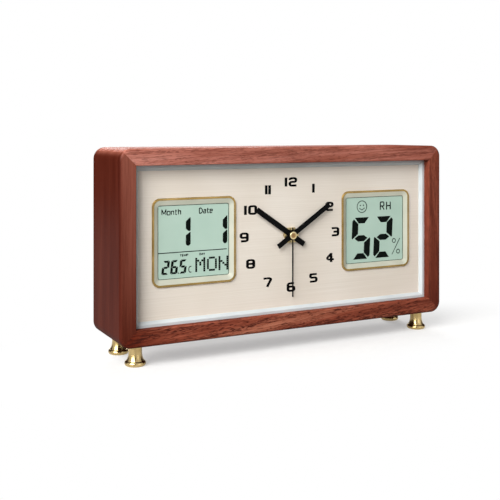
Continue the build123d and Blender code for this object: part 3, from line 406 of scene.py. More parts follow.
# No point lies 1 m along y, so what is left of y is below nought and the maximum clears it.
straight = ((RIM_HALF_WIDTH - RIM_CORNER) * MM, 1.0, (RIM_HALF_HEIGHT - RIM_CORNER) * MM)
for operation, value in [
        ("ABSOLUTE", (0, 0, 0)), ("SUBTRACT", (FRAME_SIDE * MM, 0, 0)), ("ABSOLUTE", (0, 0, 0)),
        ("SUBTRACT", straight), ("MAXIMUM", (0, 0, 0)), ("LENGTH", (0, 0, 0))]:
    point = add_node(tree, "VectorMath", {0: point, 1: value}, operation=operation)
gilt = add_node(tree, "Math", {0: point, 1: (RIM_CORNER - RIM_WIDTH) * MM},
    operation="GREATER_THAN")
satin = blots(tree, (14, 14, 14), 1.0, 12.0)
slope = add_node(tree, "ValToRGB", {"Fac": satin}, [(0.3, "#C2C3B1"), (0.7, "#CBCBBA")])
gold = add_node(tree, "ValToRGB", {"Fac": satin}, [(0.3, "#8A7141"), (0.7, "#A48A57")])
colour = add_node(tree, "Mix", {BLEND: gilt, COLOUR_A: slope, COLOUR_B: gold}, data_type="RGBA")
metal = add_node(tree, "MapRange", {"Value": gilt, "To Min": 0.8, "To Max": 1.0})
gloss = add_node(tree, "MapRange", {"Value": gilt, "To Min": 0.42, "To Max": 0.24})
connect(shader, {"Base Color": colour, "Metallic": metal, "Roughness": gloss})
raise_surface(shader, blots(tree, (0.5, 0.5, 0.5), 1.0, 5.0), 0.004, 0.3)
dress(material, "calendar_bezel", "humidity_bezel")

# %% [markdown]
# ## The liquid crystal glass
#
# A reflective display is two sheets of thin glass over a grey-green reflector. What shows
# is the reflector's mint colour, faintly uneven, under a smooth glossy face. The glass is
# too thin to see through from the side, so it is painted as a solid: mint at the front
# sheet, and the darker green of a glass edge behind it.

# %% Display glass
GLASS_FRONT = -23.9                        # y of the glass's front face
FRONT_SHEET = 0.6

material, tree, shader = bare_finish(
    "display_glass_on_reflector", Roughness=0.3, Specular_IOR_Level=0.3)
place = add_node(tree, "TexCoord")
axes = add_node(tree, "SeparateXYZ", {"Vector": place.outputs["Object"]})
behind = add_node(tree, "Math", {0: axes.outputs["Y"], 1: (GLASS_FRONT + FRONT_SHEET) * MM},
    operation="GREATER_THAN")
uneven = blots(tree, (25, 25, 18), 2.0, 7.0)
mint = add_node(tree, "ValToRGB", {"Fac": uneven}, [(0.3, "#AFC9BA"), (0.7, "#B6CFC0")])
colour = add_node(tree, "Mix", {BLEND: behind, COLOUR_A: mint, COLOUR_B: "#86A596"},
    data_type="RGBA")
cover(shader, colour, blots(tree, (0.4, 0.4, 0.4), 1.0, 3.0), None, (0.003, 0.3))
dress(material, "calendar_lcd", "humidity_lcd")

# %% [markdown]
# ## Moulded plastics
#
# The liner, the display modules, the movement, the wheels, the buttons and the battery
# doors are all injection moulded. They differ in colour and in the mould's texture: satin
# where it shows, smooth on wheels, and spark-eroded, like fine sand, on the modules. So one
# function makes them all, from a table of what each one is. Every moulding is a little
# uneven in colour and has fine grit in its gloss.

# %% Plastics
def moulded(name, dark, light, grit_size, depth, roughness):
    """A moulded plastic with a texture of this grit size and depth, in mm."""
    return finish(name, (dark, light), ((22, 22, 14), 2.0, 11.0), ([grit_size] * 3, 2.0, 5.0),
                  (roughness - 0.06, roughness + 0.06), (depth, 0.5))


plastics = {
    # name: dark and light colour, grit in mm, depth in mm, roughness, parts
    "white_styrene": ("#BEC4C6", "#C8CECF", 0.8, 0.01, 0.4, ["white_liner"]),
    "spark_eroded_black_abs": ("#1D1D1F", "#27272A", 0.6, 0.06, 0.55,
                               ["calendar_housing", "humidity_housing"]),
    "black_abs_door": ("#242426", "#2E2E31", 0.5, 0.04, 0.48,
                       ["calendar_cell_door", "humidity_cell_door"]),
    "grey_abs_button": ("#86898C", "#93979A", 0.7, 0.01, 0.38,
                        ["up_button", "mode_button", "down_button"]),
    "black_switch_nylon": ("#141414", "#1C1C1C", 0.5, 0.02, 0.5, ["calendar_switches"]),
    "white_sensor_nylon": ("#E0E0DA", "#EBEBE6", 0.5, 0.02, 0.45, ["humidity_sensor"]),
    "satin_black_abs": ("#18181A", "#212124", 0.7, 0.02, 0.42,
                        ["movement_front_shell", "movement_rear_cover"]),
    "white_acetal_plate": ("#D6D6CE", "#E2E2DB", 0.8, 0.01, 0.4, ["movement_middle_plate"]),
    "white_acetal_gear": ("#E6E3DA", "#F0EEE7", 0.9, 0.008, 0.33,
                          ["hour_wheel", "cannon_pinion", "minute_wheel", "centre_wheel",
                           "third_wheel", "seconds_wheel", "fifth_wheel"]),
    "cream_abs_knob": ("#D9D8D1", "#E3E2DC", 0.6, 0.015, 0.4, ["setting_knob"]),
}
for name, (*look, wearers) in plastics.items():
    dress(moulded(name, *look), *wearers)
print("plastics:", len(plastics))

# %% [markdown]
# ## Plated and stamped metals
#
# The screws are zinc plated, the coin cells and the battery's springs nickel plated, the
# stator is stamped from bare soft-iron sheet and the rotor is a sintered magnet. All are
# metals whose marks differ in size and whose reflection goes from bright to dark grey.

# %% Steels
def plated(name, dark, light, marks_size, depth, roughness):
    """A bare or plated steel with marks of these sizes in mm along x, y and z."""
    return finish(name, (dark, light), ((4, 4, 4), 2.0, 8.0), (marks_size, 3.0, 2.0),
                  (roughness * 0.75, roughness * 1.3), (depth, 0.5), Metallic=1.0)


steels = {
    "zinc_plated_steel": ("#A9ABB2", "#C3C6CB", (0.6, 0.6, 0.6), 0.02, 0.3,
                          ["calendar_screws", "humidity_screws", "rear_panel_screws"]),
    "nickel_plated_cell": ("#BFC0C2", "#D2D3D4", (30, 30, 0.4), 0.01, 0.25,
                           ["calendar_coin_cell", "humidity_coin_cell", "quartz_crystal"]),
    "soft_iron_stamping": ("#8E9094", "#A6A8AC", (6, 0.5, 0.5), 0.02, 0.38, ["stator"]),
    "sintered_magnet": ("#3A3A3C", "#4B4B4E", (0.4, 0.4, 0.4), 0.05, 0.55, ["rotor"]),
    "nickel_plated_spring": ("#B4B5B6", "#CECFD0", (0.4, 8, 0.4), 0.01, 0.24,
                             ["battery_plus_contact", "battery_minus_contact"]),
}
for name, (*look, wearers) in steels.items():
    dress(plated(name, *look), *wearers)
print("steels:", len(steels))

# %% [markdown]
# ## Black paint of the hands
#
# The hands are stamped from thin sheet and sprayed matt black. Paint follows the metal and
# dries with a slight pebble, which breaks up the gloss at the hands' edges.

# %% Hand paint
pebble = ((0.9, 0.9, 0.9), 2.0, 3.0)
dress(finish("matt_black_paint", ("#050505", "#0B0B0C"), pebble, pebble, (0.42, 0.6),
             (0.01, 0.4), Specular_IOR_Level=0.04), "hour_hand", "minute_hand", "second_hand")

# %% [markdown]
# ## Hardboard, pine and rubber
#
# The back is smooth hardboard: brown wood fibre pressed hard, with darker and lighter
# fibres a few millimetres long lying all ways. The glue blocks in the case's corners are
# sawn pine, pale with orange late wood. The strips that join a display to its board, and
# the washer behind the dial, are silicone rubber, in layers too fine to see.

# %% Hardboard
material, tree, shader = bare_finish("smooth_hardboard", Specular_IOR_Level=0.35)
fibres_across = blots(tree, (4.5, 4, 0.5), 3.0, 2.0, 1.5)
fibres_up = blots(tree, (0.5, 4, 4.5), 3.0, 6.0, 1.5)
fibres = add_node(tree, "Math", {0: fibres_across, 1: fibres_up}, operation="ADD")
half = add_node(tree, "Math", {0: fibres, 1: 0.5}, operation="MULTIPLY")
patches = blots(tree, (45, 45, 45), 2.0, 1.0)
board = add_node(tree, "ValToRGB", {"Fac": half}, [(0.36, "#5F4530"), (0.5, "#7C5C43"),
    (0.64, "#977559")])
shade = add_node(tree, "ValToRGB", {"Fac": patches}, [(0.3, "#DDD6D0"), (0.7, "#FFFFFF")])
colour = add_node(tree, "Mix", {BLEND: 1.0, COLOUR_A: board, COLOUR_B: shade}, data_type="RGBA",
    blend_type="MULTIPLY")
cover(shader, colour, half, (0.45, 0.62), (0.05, 0.4))
dress(material, "rear_panel")

# %% Sawn pine and layered silicone rubber
pine = [(0.35, "#E2C48F"), (0.55, "#D6AE74"), (0.7, "#B98548")]
dress(finish("sawn_pine", pine, ((2.2, 90, 2.2), 2.0, 3.0, 0.3), ((30, 1.2, 30), 1.0, 7.0),
             None, (0.1, 0.5), Roughness=0.72), "corner_blocks")

layers = ((0.35, 40, 40), 0.0, 2.0)
dress(finish("layered_silicone_rubber", [(0.45, "#4A3A38"), (0.52, "#C99A90")], layers, layers,
             None, (0.03, 0.5), Roughness=0.6),
      "calendar_contact_strips", "humidity_contact_strips", "bush_washer")

# %% [markdown]
# ## Circuit boards
#
# A bare board is glass-fibre laminate under green solder mask. Copper tracks show through
# the mask as paler lines that turn square corners, and pads are bare tinned spots. The
# cells of a Voronoi pattern measured in city blocks give such lines, and a second one
# gives the spots.

# %% Green laminate with tracks and pads
material, tree, shader = bare_finish("green_circuit_laminate", Coat_Weight=0.2)
place = add_node(tree, "TexCoord")
tracks = add_node(tree, "TexVoronoi", {"Vector": place.outputs["Object"],
    "Scale": 1 / (4.5 * MM)}, distance="MANHATTAN", feature="F1")
track = add_node(tree, "Math", {0: tracks, 1: 0.55, 2: 0.05}, operation="COMPARE")
pads = add_node(tree, "TexVoronoi", {"Vector": place.outputs["Object"], "Scale": 1 / (5.5 * MM),
    "Randomness": 0.5})
pad = add_node(tree, "Math", {0: pads, 1: 0.14}, operation="LESS_THAN")
mask = add_node(tree, "Mix", {BLEND: track, COLOUR_A: "#1C5A33", COLOUR_B: "#3B8350"},
    data_type="RGBA")
colour = add_node(tree, "Mix", {BLEND: pad, COLOUR_A: mask, COLOUR_B: "#C6C7C2"},
    data_type="RGBA")
connect(shader, {"Metallic": pad})
cover(shader, colour, track, (0.32, 0.24), (0.04, 0.6))
dress(material, "calendar_circuit_board", "humidity_circuit_board", "movement_circuit_board")

# %% [markdown]
# ## The motor's coil
#
# The coil is enamelled copper wire, wound round and round on a bobbin along x. Each turn
# is a thin band, bright in the middle and dark at its edges: a painted highlight on the wire
# and painted shade between the turns. Real wire here is 0.05 mm thick; the bands are drawn
# 0.35 mm wide.
# A wave texture repeats about every 0.314 units at scale 1, which gives its scale.

# %% Wound copper wire
WAVE_LENGTH = 0.314
material, tree, shader = bare_finish("enamelled_copper_winding", Metallic=1.0)
place = add_node(tree, "TexCoord")
turns = add_node(tree, "TexWave", {"Vector": place.outputs["Object"],
    "Scale": WAVE_LENGTH / (0.35 * MM), "Distortion": 0.6, "Detail": 1.0}, wave_type="BANDS",
    bands_direction="X").outputs["Fac"]
# Dark to bright across each turn: painted shade between the turns and a painted highlight on the
# wire.
colour = add_node(tree, "ValToRGB", {"Fac": turns}, [(0.1, "#6E3216"), (0.8, "#C8713A")])
cover(shader, colour, turns, (0.4, 0.26), (0.15, 0.8))
dress(material, "coil")

# %% [markdown]
# ## The battery
#
# An AA cell is a steel can in a printed sleeve, with bare metal at both ends. The cell
# lies along x, so the place along x says what shows: bare steel, the slate sleeve, a pale
# band, the sleeve again and the plus end.

# %% Battery sleeve
BATTERY_MINUS, BATTERY_PLUS = -24.5, 26.0  # ends of the cell along x
SLEEVE_ENDS = (-23.9, 24.6)
BAND = (11.0, 13.5)
BARE_STEEL, SLATE, PALE, DARK_SLATE = "#B9BABB", "#35506E", "#C9CDD2", "#27394F"
EDGE = 0.002                               # width of each change, as a share of the length

stops = []
for x, before, after in [(SLEEVE_ENDS[0], BARE_STEEL, SLATE), (BAND[0], SLATE, PALE),
                         (BAND[1], PALE, DARK_SLATE), (SLEEVE_ENDS[1], DARK_SLATE, BARE_STEEL)]:
    along_cell = (x - BATTERY_MINUS) / (BATTERY_PLUS - BATTERY_MINUS)
    stops += [(along_cell, before), (along_cell + EDGE, after)]

material, tree, shader = bare_finish("printed_battery_sleeve", Coat_Weight=0.4)
place = add_node(tree, "TexCoord")
along_x = add_node(tree, "SeparateXYZ", {"Vector": place.outputs["Object"]}).outputs["X"]
share = add_node(tree, "MapRange", {"Value": along_x, "From Min": BATTERY_MINUS * MM,
    "From Max": BATTERY_PLUS * MM})
sleeve = add_node(tree, "ValToRGB", {"Fac": share}, stops)
sleeved = add_node(tree, "Math", {0: along_x, 1: sum(SLEEVE_ENDS) / 2 * MM,
    2: (SLEEVE_ENDS[1] - SLEEVE_ENDS[0]) / 2 * MM}, operation="COMPARE")
bare = add_node(tree, "Math", {0: 1.0, 1: sleeved}, operation="SUBTRACT")
connect(shader, {"Metallic": bare})
cover(shader, sleeve, blots(tree, (14, 3, 3), 2.0, 3.0), (0.2, 0.34), (0.05, 0.3))
dress(material, "aa_battery")

undressed = [name for name, part in parts.items()
             if any(not place.material or not place.material.node_tree.nodes.get("Principled BSDF")
                    or place.material.name in {m["slot"] for m in frame["record"]["materials"]}
                    for place in part.material_slots)]
print("parts still in their plain CAD colour:", undressed)

# %% [markdown]
# ## Printing ink
#
# The numerals are screen printed on the dial in black ink, which lies a few hundredths of
# a millimetre proud and is slightly uneven. The displays' characters are liquid crystal:
# dark, with a hint of the green behind them.

# %% Ink and liquid crystal
INK_THICKNESS = 0.06
INK_SUNK = 0.02                            # how deep a print reaches into what carries it


def ink_layer(face):
    """y, in metres, of the middle of a print on this face, whose own y is in mm."""
    return (face + INK_SUNK - INK_THICKNESS / 2) * MM


def flat_black(name, dark, light, roughness, grain):
    """A thin black print whose tone changes over blots of this size in mm."""
    tone = ([grain] * 3, 3.0, 4.0)
    return finish(name, (dark, light), tone, tone, None, (0.01, 0.3),
                  Roughness=roughness, Specular_IOR_Level=0.03)


dial_ink = flat_black("screen_printed_black_ink", "#050505", "#0D0C0C", 0.6, 0.5)
segment_black = flat_black("dark_liquid_crystal", "#060A08", "#0D1310", 0.45, 2.0)
# This ink also draws the thin dark line round each display, which is painted shade of the gap
# under its frame.
faint_black = flat_black("thin_liquid_crystal_lines", "#25332C", "#2F4037", 0.45, 2.0)

# %% [markdown]
# ## A tree that draws with a flat pen
#
# The numerals are wide and square with round corners, and their upright strokes are
# thicker than their level ones. That is what a flat pen line does when it is drawn evenly
# and then stretched sideways. So each numeral is only a few corner points, and Geometry
# Nodes does the rest: round the corners, sweep a thin flat bar along the line, stretch the
# result, and stand it up against the dial. A drawing is made lying flat, x to the right
# and y up the page, and the last turn stands it on its lower edge, facing the viewer.
#
# The same tree, with a stretch of one, draws the thin lines of the displays.

# %% The pen tree
def new_tree(name, inputs):
    """A Geometry Nodes tree with these named inputs, and its input node."""
    tree = bpy.data.node_groups.new(name, "GeometryNodeTree")
    tree.interface.new_socket("Geometry", in_out="INPUT", socket_type="NodeSocketGeometry")
    for label, kind in inputs:
        tree.interface.new_socket(label, in_out="INPUT", socket_type="NodeSocket" + kind)
    tree.interface.new_socket("Geometry", in_out="OUTPUT", socket_type="NodeSocketGeometry")
    return tree, add_node(tree, "NodeGroupInput").outputs


def stand_up(tree, geometry, stretch, place, ink):
    """Stretch a flat drawing, stand it up at its place, realize it and give it its ink."""
    widened = add_node(tree, "Transform", {"Geometry": geometry, "Scale": stretch})
    upright = add_node(tree, "Transform", {"Geometry": widened, "Translation": place,
        "Rotation": (math.pi / 2, 0, 0)})
    real = add_node(tree, "RealizeInstances", {"Geometry": upright})
    inked = add_node(tree, "SetMaterial", {"Geometry": real, "Material": ink})
    add_node(tree, "NodeGroupOutput", {"Geometry": inked})


pen_tree, given = new_tree("flat_pen", [
    ("Stroke width", "Float"), ("Ink thickness", "Float"), ("Corner radius", "Float"),
    ("Stretch", "Vector"), ("Place", "Vector"), ("Ink", "Material")])
rounded = add_node(pen_tree, "FilletCurve", {"Curve": given["Geometry"],
    "Radius": given["Corner radius"], "Count": 6, "Limit Radius": True}, mode="POLY")
nib = add_node(pen_tree, "CurvePrimitiveQuadrilateral", {"Width": given["Stroke width"],
    "Height": given["Ink thickness"]})
swept = add_node(pen_tree, "CurveToMesh", {"Curve": rounded, "Profile Curve": nib,
    "Fill Caps": True})
stand_up(pen_tree, swept, given["Stretch"], given["Place"], given["Ink"])

# %% [markdown]
# ## From a tree to a plain mesh
#
# A modifier's inputs are set by the socket's identifier, because names can repeat. The
# evaluated object is then copied as a plain mesh, which is what rides on the clock, and
# the source is thrown away. The pen's source is a curve with one straight-cornered line
# for each stroke.

# %% Running a tree, and laying down strokes
def new_object(name, data):
    """A new object in the scene."""
    made = bpy.data.objects.new(name, data)
    bpy.context.scene.collection.objects.link(made)
    return made


def grow(name, source, tree, values):
    """Run the tree on this source and return what it makes, as an object with a plain mesh."""
    holder = new_object(name + "_source", source)
    modifier = holder.modifiers.new("tree", "NODES")
    modifier.node_group = tree
    for item in tree.interface.items_tree:
        if item.in_out == "INPUT" and item.name in values:
            modifier[item.identifier] = values[item.name]
    bpy.context.view_layer.update()
    evaluated = holder.evaluated_get(bpy.context.evaluated_depsgraph_get())
    mesh = bpy.data.meshes.new_from_object(evaluated)
    mesh.name = name
    bpy.data.objects.remove(holder)
    return new_object(name, mesh)


def strokes(name, lines):
    """A curve with one cornered line for each stroke: (closed, its points in mm)."""
    curve = bpy.data.curves.new(name, "CURVE")
    curve.dimensions = "3D"
    for closed, points in lines:
        line = curve.splines.new("POLY")
        line.points.add(len(points) - 1)
        for point, (x, y) in zip(line.points, points):
            point.co = (x * MM, y * MM, 0, 1)
        line.use_cyclic_u = closed
    return curve


def print_on_case(piece):
    """Let a printed piece ride on the case, and print how many triangles it has."""
    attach(piece, "case")
    triangles = sum(len(face.vertices) - 2 for face in piece.data.polygons)
    print(piece.name, triangles, "triangles")


# %% [markdown]
# ## The numerals
#
# Each numeral is written as the middle line of its strokes, in a box of one unit width and
# height that the pen's own width leaves free. Its corners are pairs of numbers in a short
# text, which a small function reads. Twelve places on a circle, every 30 degrees, carry
# them upright, as on a printed dial. The stretch widens the whole drawing about the dial's
# middle, so the places are narrowed by the same amount first.

# %% Dial numerals
NUMERAL_HEIGHT = 8.3
NUMERAL_RADIUS = 46.4
DIAL_FRONT = -25.5                         # y of the dial's face
LEVEL_STROKE = 1.8
FREE_WIDTH = 4.1                           # of a numeral's middle line, and 0 for a 1
NUMERAL_CORNER = 1.25                      # radius of the line's round corners
NUMERAL_STRETCH = 1.5
BAR_GAP, GAP_OF_ELEVEN = 0.8, 0.4
NUMERALS_MIDDLE = (0.7, 0.3)               # of their ring, from the hands' axis


def read_strokes(text):
    """A character's strokes: points as x,y, | between two strokes, and o if one is closed."""
    return [("o" in stroke, [tuple(map(float, point.split(",")))
                             for point in stroke.split() if point != "o"])
            for stroke in text.split("|")]


shapes = {
    "0": "o 0,0 1,0 1,1 0,1",
    "1": "0,-0.11 0,1.11",
    "2": "0,0.74 0,1 1,1 1,0.5 0,0.5 0,0 1.1,0",
    "3": "-0.1,1 1,1 1,0 -0.1,0 | 0.2,0.5 1,0.5",
    "4": "0.74,1 -0.16,0.24 1.28,0.24 | 0.8,1.13 0.8,-0.13",
    "5": "1.08,1 -0.12,1 | 0,1 0,0.54 1,0.54 1,0 -0.08,0",
    "6": "1,1 0,1 0,0 1,0 1,0.54 0,0.54",
    "7": "-0.2,1 1.1,1 0.36,-0.13",
    "8": "o 0,0 1,0 1,1 0,1 | 0,0.52 1,0.52",
    "9": "1,0.46 0,0.46 0,1 1,1 1,0 0,0",
}
free_height = NUMERAL_HEIGHT - LEVEL_STROKE
free_width = {digit: 0.0 if digit == "1" else FREE_WIDTH for digit in shapes}

lines = []
for hour in range(1, 13):
    angle = math.radians(30 * hour)
    text = str(hour)
    gap = GAP_OF_ELEVEN if text == "11" else BAR_GAP
    width = sum(free_width[d] + LEVEL_STROKE for d in text) + gap * (len(text) - 1)
    left = NUMERAL_RADIUS * math.sin(angle) / NUMERAL_STRETCH - width / 2
    low = NUMERAL_RADIUS * math.cos(angle) - free_height / 2
    for digit in text:
        left += LEVEL_STROKE / 2
        for closed, points in read_strokes(shapes[digit]):
            lines.append((closed, [(left + x * free_width[digit], low + y * free_height)
                                   for x, y in points]))
        left += free_width[digit] + LEVEL_STROKE / 2 + gap

numerals = grow("dial_numerals", strokes("numeral_lines", lines), pen_tree, {
    "Stroke width": LEVEL_STROKE * MM, "Ink thickness": INK_THICKNESS * MM,
    "Corner radius": NUMERAL_CORNER * MM, "Stretch": (NUMERAL_STRETCH, 1, 1),
    "Place": (NUMERALS_MIDDLE[0] * MM, ink_layer(DIAL_FRONT),
              (DIAL_CENTRE + NUMERALS_MIDDLE[1]) * MM),
    "Ink": dial_ink})
print_on_case(numerals)

# %% [markdown]
# ## Seven-segment digits
#
# A display's digit is seven bars with mitred ends and thin gaps, in a box that leans a
# little. Three shapes are enough: a level bar, an upright bar and the pointed middle bar.
# The others are their mirror images. Each bar becomes a thin plate with its own sides, so
# the digits are real relief, and not a picture.

# %% Segment shapes and plates
DIGIT_WIDTH, DIGIT_HEIGHT = 19.8, 37.4
LEVEL_BAR = [(3.0, 37.4), (16.8, 37.4), (12.9, 32.5), (6.9, 32.5)]
UPRIGHT_BAR = [(0, 33.8), (1.5, 35.4), (6.0, 31.4), (6.0, 23.1), (0.7, 19.0), (0, 19.9)]
MIDDLE_BAR = [(3.4, 18.7), (7.0, 21.2), (12.8, 21.2), (16.4, 18.7), (12.8, 16.2), (7.0, 16.2)]
LIT = {"2": "top right_up middle left_down bottom", "5": "top left_up middle right_down bottom",
       "6": "top left_up middle left_down right_down bottom"}


def mirrored(points, across=False, up=False):
    """The shape on the other side of the digit's box, to the right, below, or both."""
    return [(DIGIT_WIDTH - x if across else x, DIGIT_HEIGHT - y if up else y)
            for x, y in points]


bars = {"top": LEVEL_BAR, "bottom": mirrored(LEVEL_BAR, up=True), "middle": MIDDLE_BAR,
        "left_up": UPRIGHT_BAR, "right_up": mirrored(UPRIGHT_BAR, across=True),
        "left_down": mirrored(UPRIGHT_BAR, up=True),
        "right_down": mirrored(UPRIGHT_BAR, across=True, up=True)}


def segment_digit(digit, left, bottom, width, height, lean, fatness=1.0):
    """The lit bars of a digit, as outlines in mm, in a box of this place and size.

    fatness swells each bar about its own middle, which narrows the gaps of small digits."""
    placed = []
    for bar in LIT[digit].split():
        middle_x = sum(x for x, _ in bars[bar]) / len(bars[bar])
        middle_y = sum(y for _, y in bars[bar]) / len(bars[bar])
        outline = []
        for x, y in bars[bar]:
            x = middle_x + (x - middle_x) * fatness
            y = middle_y + (y - middle_y) * fatness
            outline.append((left + x * width / DIGIT_WIDTH
                            + lean * (y / DIGIT_HEIGHT - 0.5) * height,
                            bottom + y * height / DIGIT_HEIGHT))
        placed.append(outline)
    return placed


def thin_plates(name, outlines, centre_x):
    """Thin plates with these outlines, standing just proud of a display's glass."""
    work = bmesh.new()
    for outline in outlines:
        rings = []
        for y in (GLASS_FRONT + INK_SUNK, GLASS_FRONT + INK_SUNK - INK_THICKNESS):
            rings.append([work.verts.new(Vector((centre_x + x, y, DIAL_CENTRE + z)) * MM)
                          for x, z in outline])
        back, face = rings
        work.faces.new(back)
        work.faces.new(reversed(face))
        for step in range(len(outline)):
            after = (step + 1) % len(outline)
            work.faces.new((back[step], face[step], face[after], back[after]))
    bmesh.ops.recalc_face_normals(work, faces=work.faces)
    mesh = bpy.data.meshes.new(name)
    work.to_mesh(mesh)
    work.free()
    mesh.materials.append(segment_black)
    print_on_case(new_object(name, mesh))


# %% [markdown]
# ## Humidity display
#
# The display shows a relative humidity of 52 per cent, the letters RH, and a plain
# smiling face that such displays light up when the air is comfortable. The places are
# measured from the middle of the window.

# %% Humidity digits
humidity_outlines = []
for digit, left, width in (("5", -25.6, 20.3), ("2", -0.7, 20.4)):
    humidity_outlines += segment_digit(digit, left, bottom=-26.7, width=width, height=38.1,
                                       lean=0.05, fatness=1.1)
thin_plates("humidity_digits", humidity_outlines, FRAME_SIDE)


# %% Humidity lines: face and per cent sign
def ring(x, y, radius, steps=28):
    """A closed round line."""
    return (True, [(x + radius * math.cos(math.tau * step / steps),
                    y + radius * math.sin(math.tau * step / steps)) for step in range(steps)])


def draw_lines(name, lines, width, corner, centre_x, ink):
    """Thin lines on a display, drawn by the pen tree round the window's middle."""
    drawn = grow(name, strokes(name + "_lines", lines), pen_tree, {
        "Stroke width": width * MM, "Ink thickness": INK_THICKNESS * MM,
        "Corner radius": corner * MM, "Stretch": (1, 1, 1),
        "Place": (centre_x * MM, ink_layer(GLASS_FRONT), DIAL_CENTRE * MM), "Ink": ink})
    print_on_case(drawn)


FACE_X, FACE_Y, FACE_RADIUS = -14.4, 21.6, 5.4
thin_lines = [
    ring(FACE_X, FACE_Y, FACE_RADIUS),
    ring(FACE_X - 1.8, FACE_Y + 1.2, 0.3, 8),
    ring(FACE_X + 1.8, FACE_Y + 1.2, 0.3, 8),
    (False, [(FACE_X - 3.0, FACE_Y - 1.2), (FACE_X, FACE_Y - 3.2), (FACE_X + 3.0, FACE_Y - 1.2)]),
    ring(22.1, -11.9, 1.85),
    ring(27.0, -22.2, 1.85),
    (False, [(19.9, -24.8), (29.0, -9.9)]),
]
draw_lines("humidity_thin_lines", thin_lines, 0.75, 1.2, FRAME_SIDE, faint_black)

# %% [markdown]
# ## Calendar display
#
# Two large digits give the month and the date. A line parts them from the temperature,
# in small segments, and from the day of the week, in a grid of dots.

# %% Calendar digits
ONE_UPPER = [(-8.3, 16.5), (-4.5, 19.9), (-4.0, 19.7), (-4.0, 9.0), (-4.5, 8.5), (-6.2, 8.5),
             (-8.3, 10.6)]
ONE_LOWER = [(-8.3, 4.9), (-4.5, 7.7), (-4.0, 7.4), (-4.0, -2.2), (-4.9, -3.4), (-6.2, -3.9),
             (-7.5, -3.4), (-8.3, -2.2)]
ONE_SHIFTS = (1.0, 35.0)                   # where the month's and the date's digits stand

calendar_outlines = []
for shift in ONE_SHIFTS:
    for outline in (ONE_UPPER, ONE_LOWER):
        calendar_outlines.append([(x + shift, y) for x, y in outline])
for digit, left in (("2", -28.4), ("6", -20.7), ("5", -12.9)):
    calendar_outlines += segment_digit(digit, left, bottom=-26.4, width=6.2, height=11.3,
                                       lean=0.12, fatness=1.15)
calendar_outlines.append([(-14.5, -26.5), (-13.5, -26.5), (-13.5, -25.5), (-14.5, -25.5)])
thin_plates("calendar_digits", calendar_outlines, -FRAME_SIDE)

# %% Calendar line and degree letter
draw_lines("calendar_thin_lines", [
    (False, [(-32.2, -8.7), (30.4, -8.6)]),
    (False, [(-2.3, -21.2), (-3.8, -21.2), (-4.6, -22.5), (-4.6, -24.8), (-3.8, -26.0),
             (-2.3, -26.0)])], 0.75, 0.8, -FRAME_SIDE, segment_black)

# %% [markdown]
# ## The day of the week, in dots
#
# A dot-matrix word is one square repeated on a grid, so it is a natural job for instances:
# the source has one point for each lit dot, and the tree puts a small plate on each.

# %% Dot tree and the word
dot_tree, given = new_tree("display_dots", [
    ("Dot width", "Float"), ("Dot height", "Float"), ("Ink thickness", "Float"),
    ("Place", "Vector"), ("Ink", "Material")])
size = add_node(dot_tree, "ShaderNodeCombineXYZ", {"X": given["Dot width"],
    "Y": given["Dot height"], "Z": given["Ink thickness"]})
dot = add_node(dot_tree, "MeshCube", {"Size": size})
dots = add_node(dot_tree, "InstanceOnPoints", {"Points": given["Geometry"], "Instance": dot})
stand_up(dot_tree, dots, (1, 1, 1), given["Place"], given["Ink"])

DOT_WIDTH, DOT_HEIGHT = 1.75, 1.62
DOT_PITCH_X, DOT_PITCH_Y = 1.85, 1.72
LETTER_STEP = 10.75
WORD_LEFT, WORD_BOTTOM = 2.1, -25.5        # middle of the first letter's lowest left dot
LETTERS = {
    "M": "10001 11011 10101 10101 10001 10001 10001",
    "O": "01110 10001 10001 10001 10001 10001 01110",
    "N": "10001 10001 11001 10101 10011 10001 10001"}

points = []
for place, letter in enumerate("MON"):
    for row, pattern in enumerate(reversed(LETTERS[letter].split())):
        for column, lit in enumerate(pattern):
            if lit == "1":
                points.append(Vector((WORD_LEFT + place * LETTER_STEP + column * DOT_PITCH_X,
                                      WORD_BOTTOM + row * DOT_PITCH_Y, 0)) * MM)
lit_dots = bpy.data.meshes.new("lit_dots")
lit_dots.from_pydata(points, [], [])
day_word = grow("calendar_day_dots", lit_dots, dot_tree, {
    "Dot width": DOT_WIDTH * MM, "Dot height": DOT_HEIGHT * MM,
    "Ink thickness": INK_THICKNESS * MM,
    "Place": (-FRAME_SIDE * MM, ink_layer(GLASS_FRONT), DIAL_CENTRE * MM),
    "Ink": segment_black})
print_on_case(day_word)

# %% [markdown]
# ## Small words and the painted shade at the displays' edges
#
# The words over the digits are plain capitals and small letters, 2 to 7 mm tall, drawn
# with the same pen. Each letter is a few corner points in a box one unit high. A word lays
# its letters side by side and is then fitted to its place on the display. A thin dark line
# round each display's picture is painted shade of the gap where the glass goes under its frame.

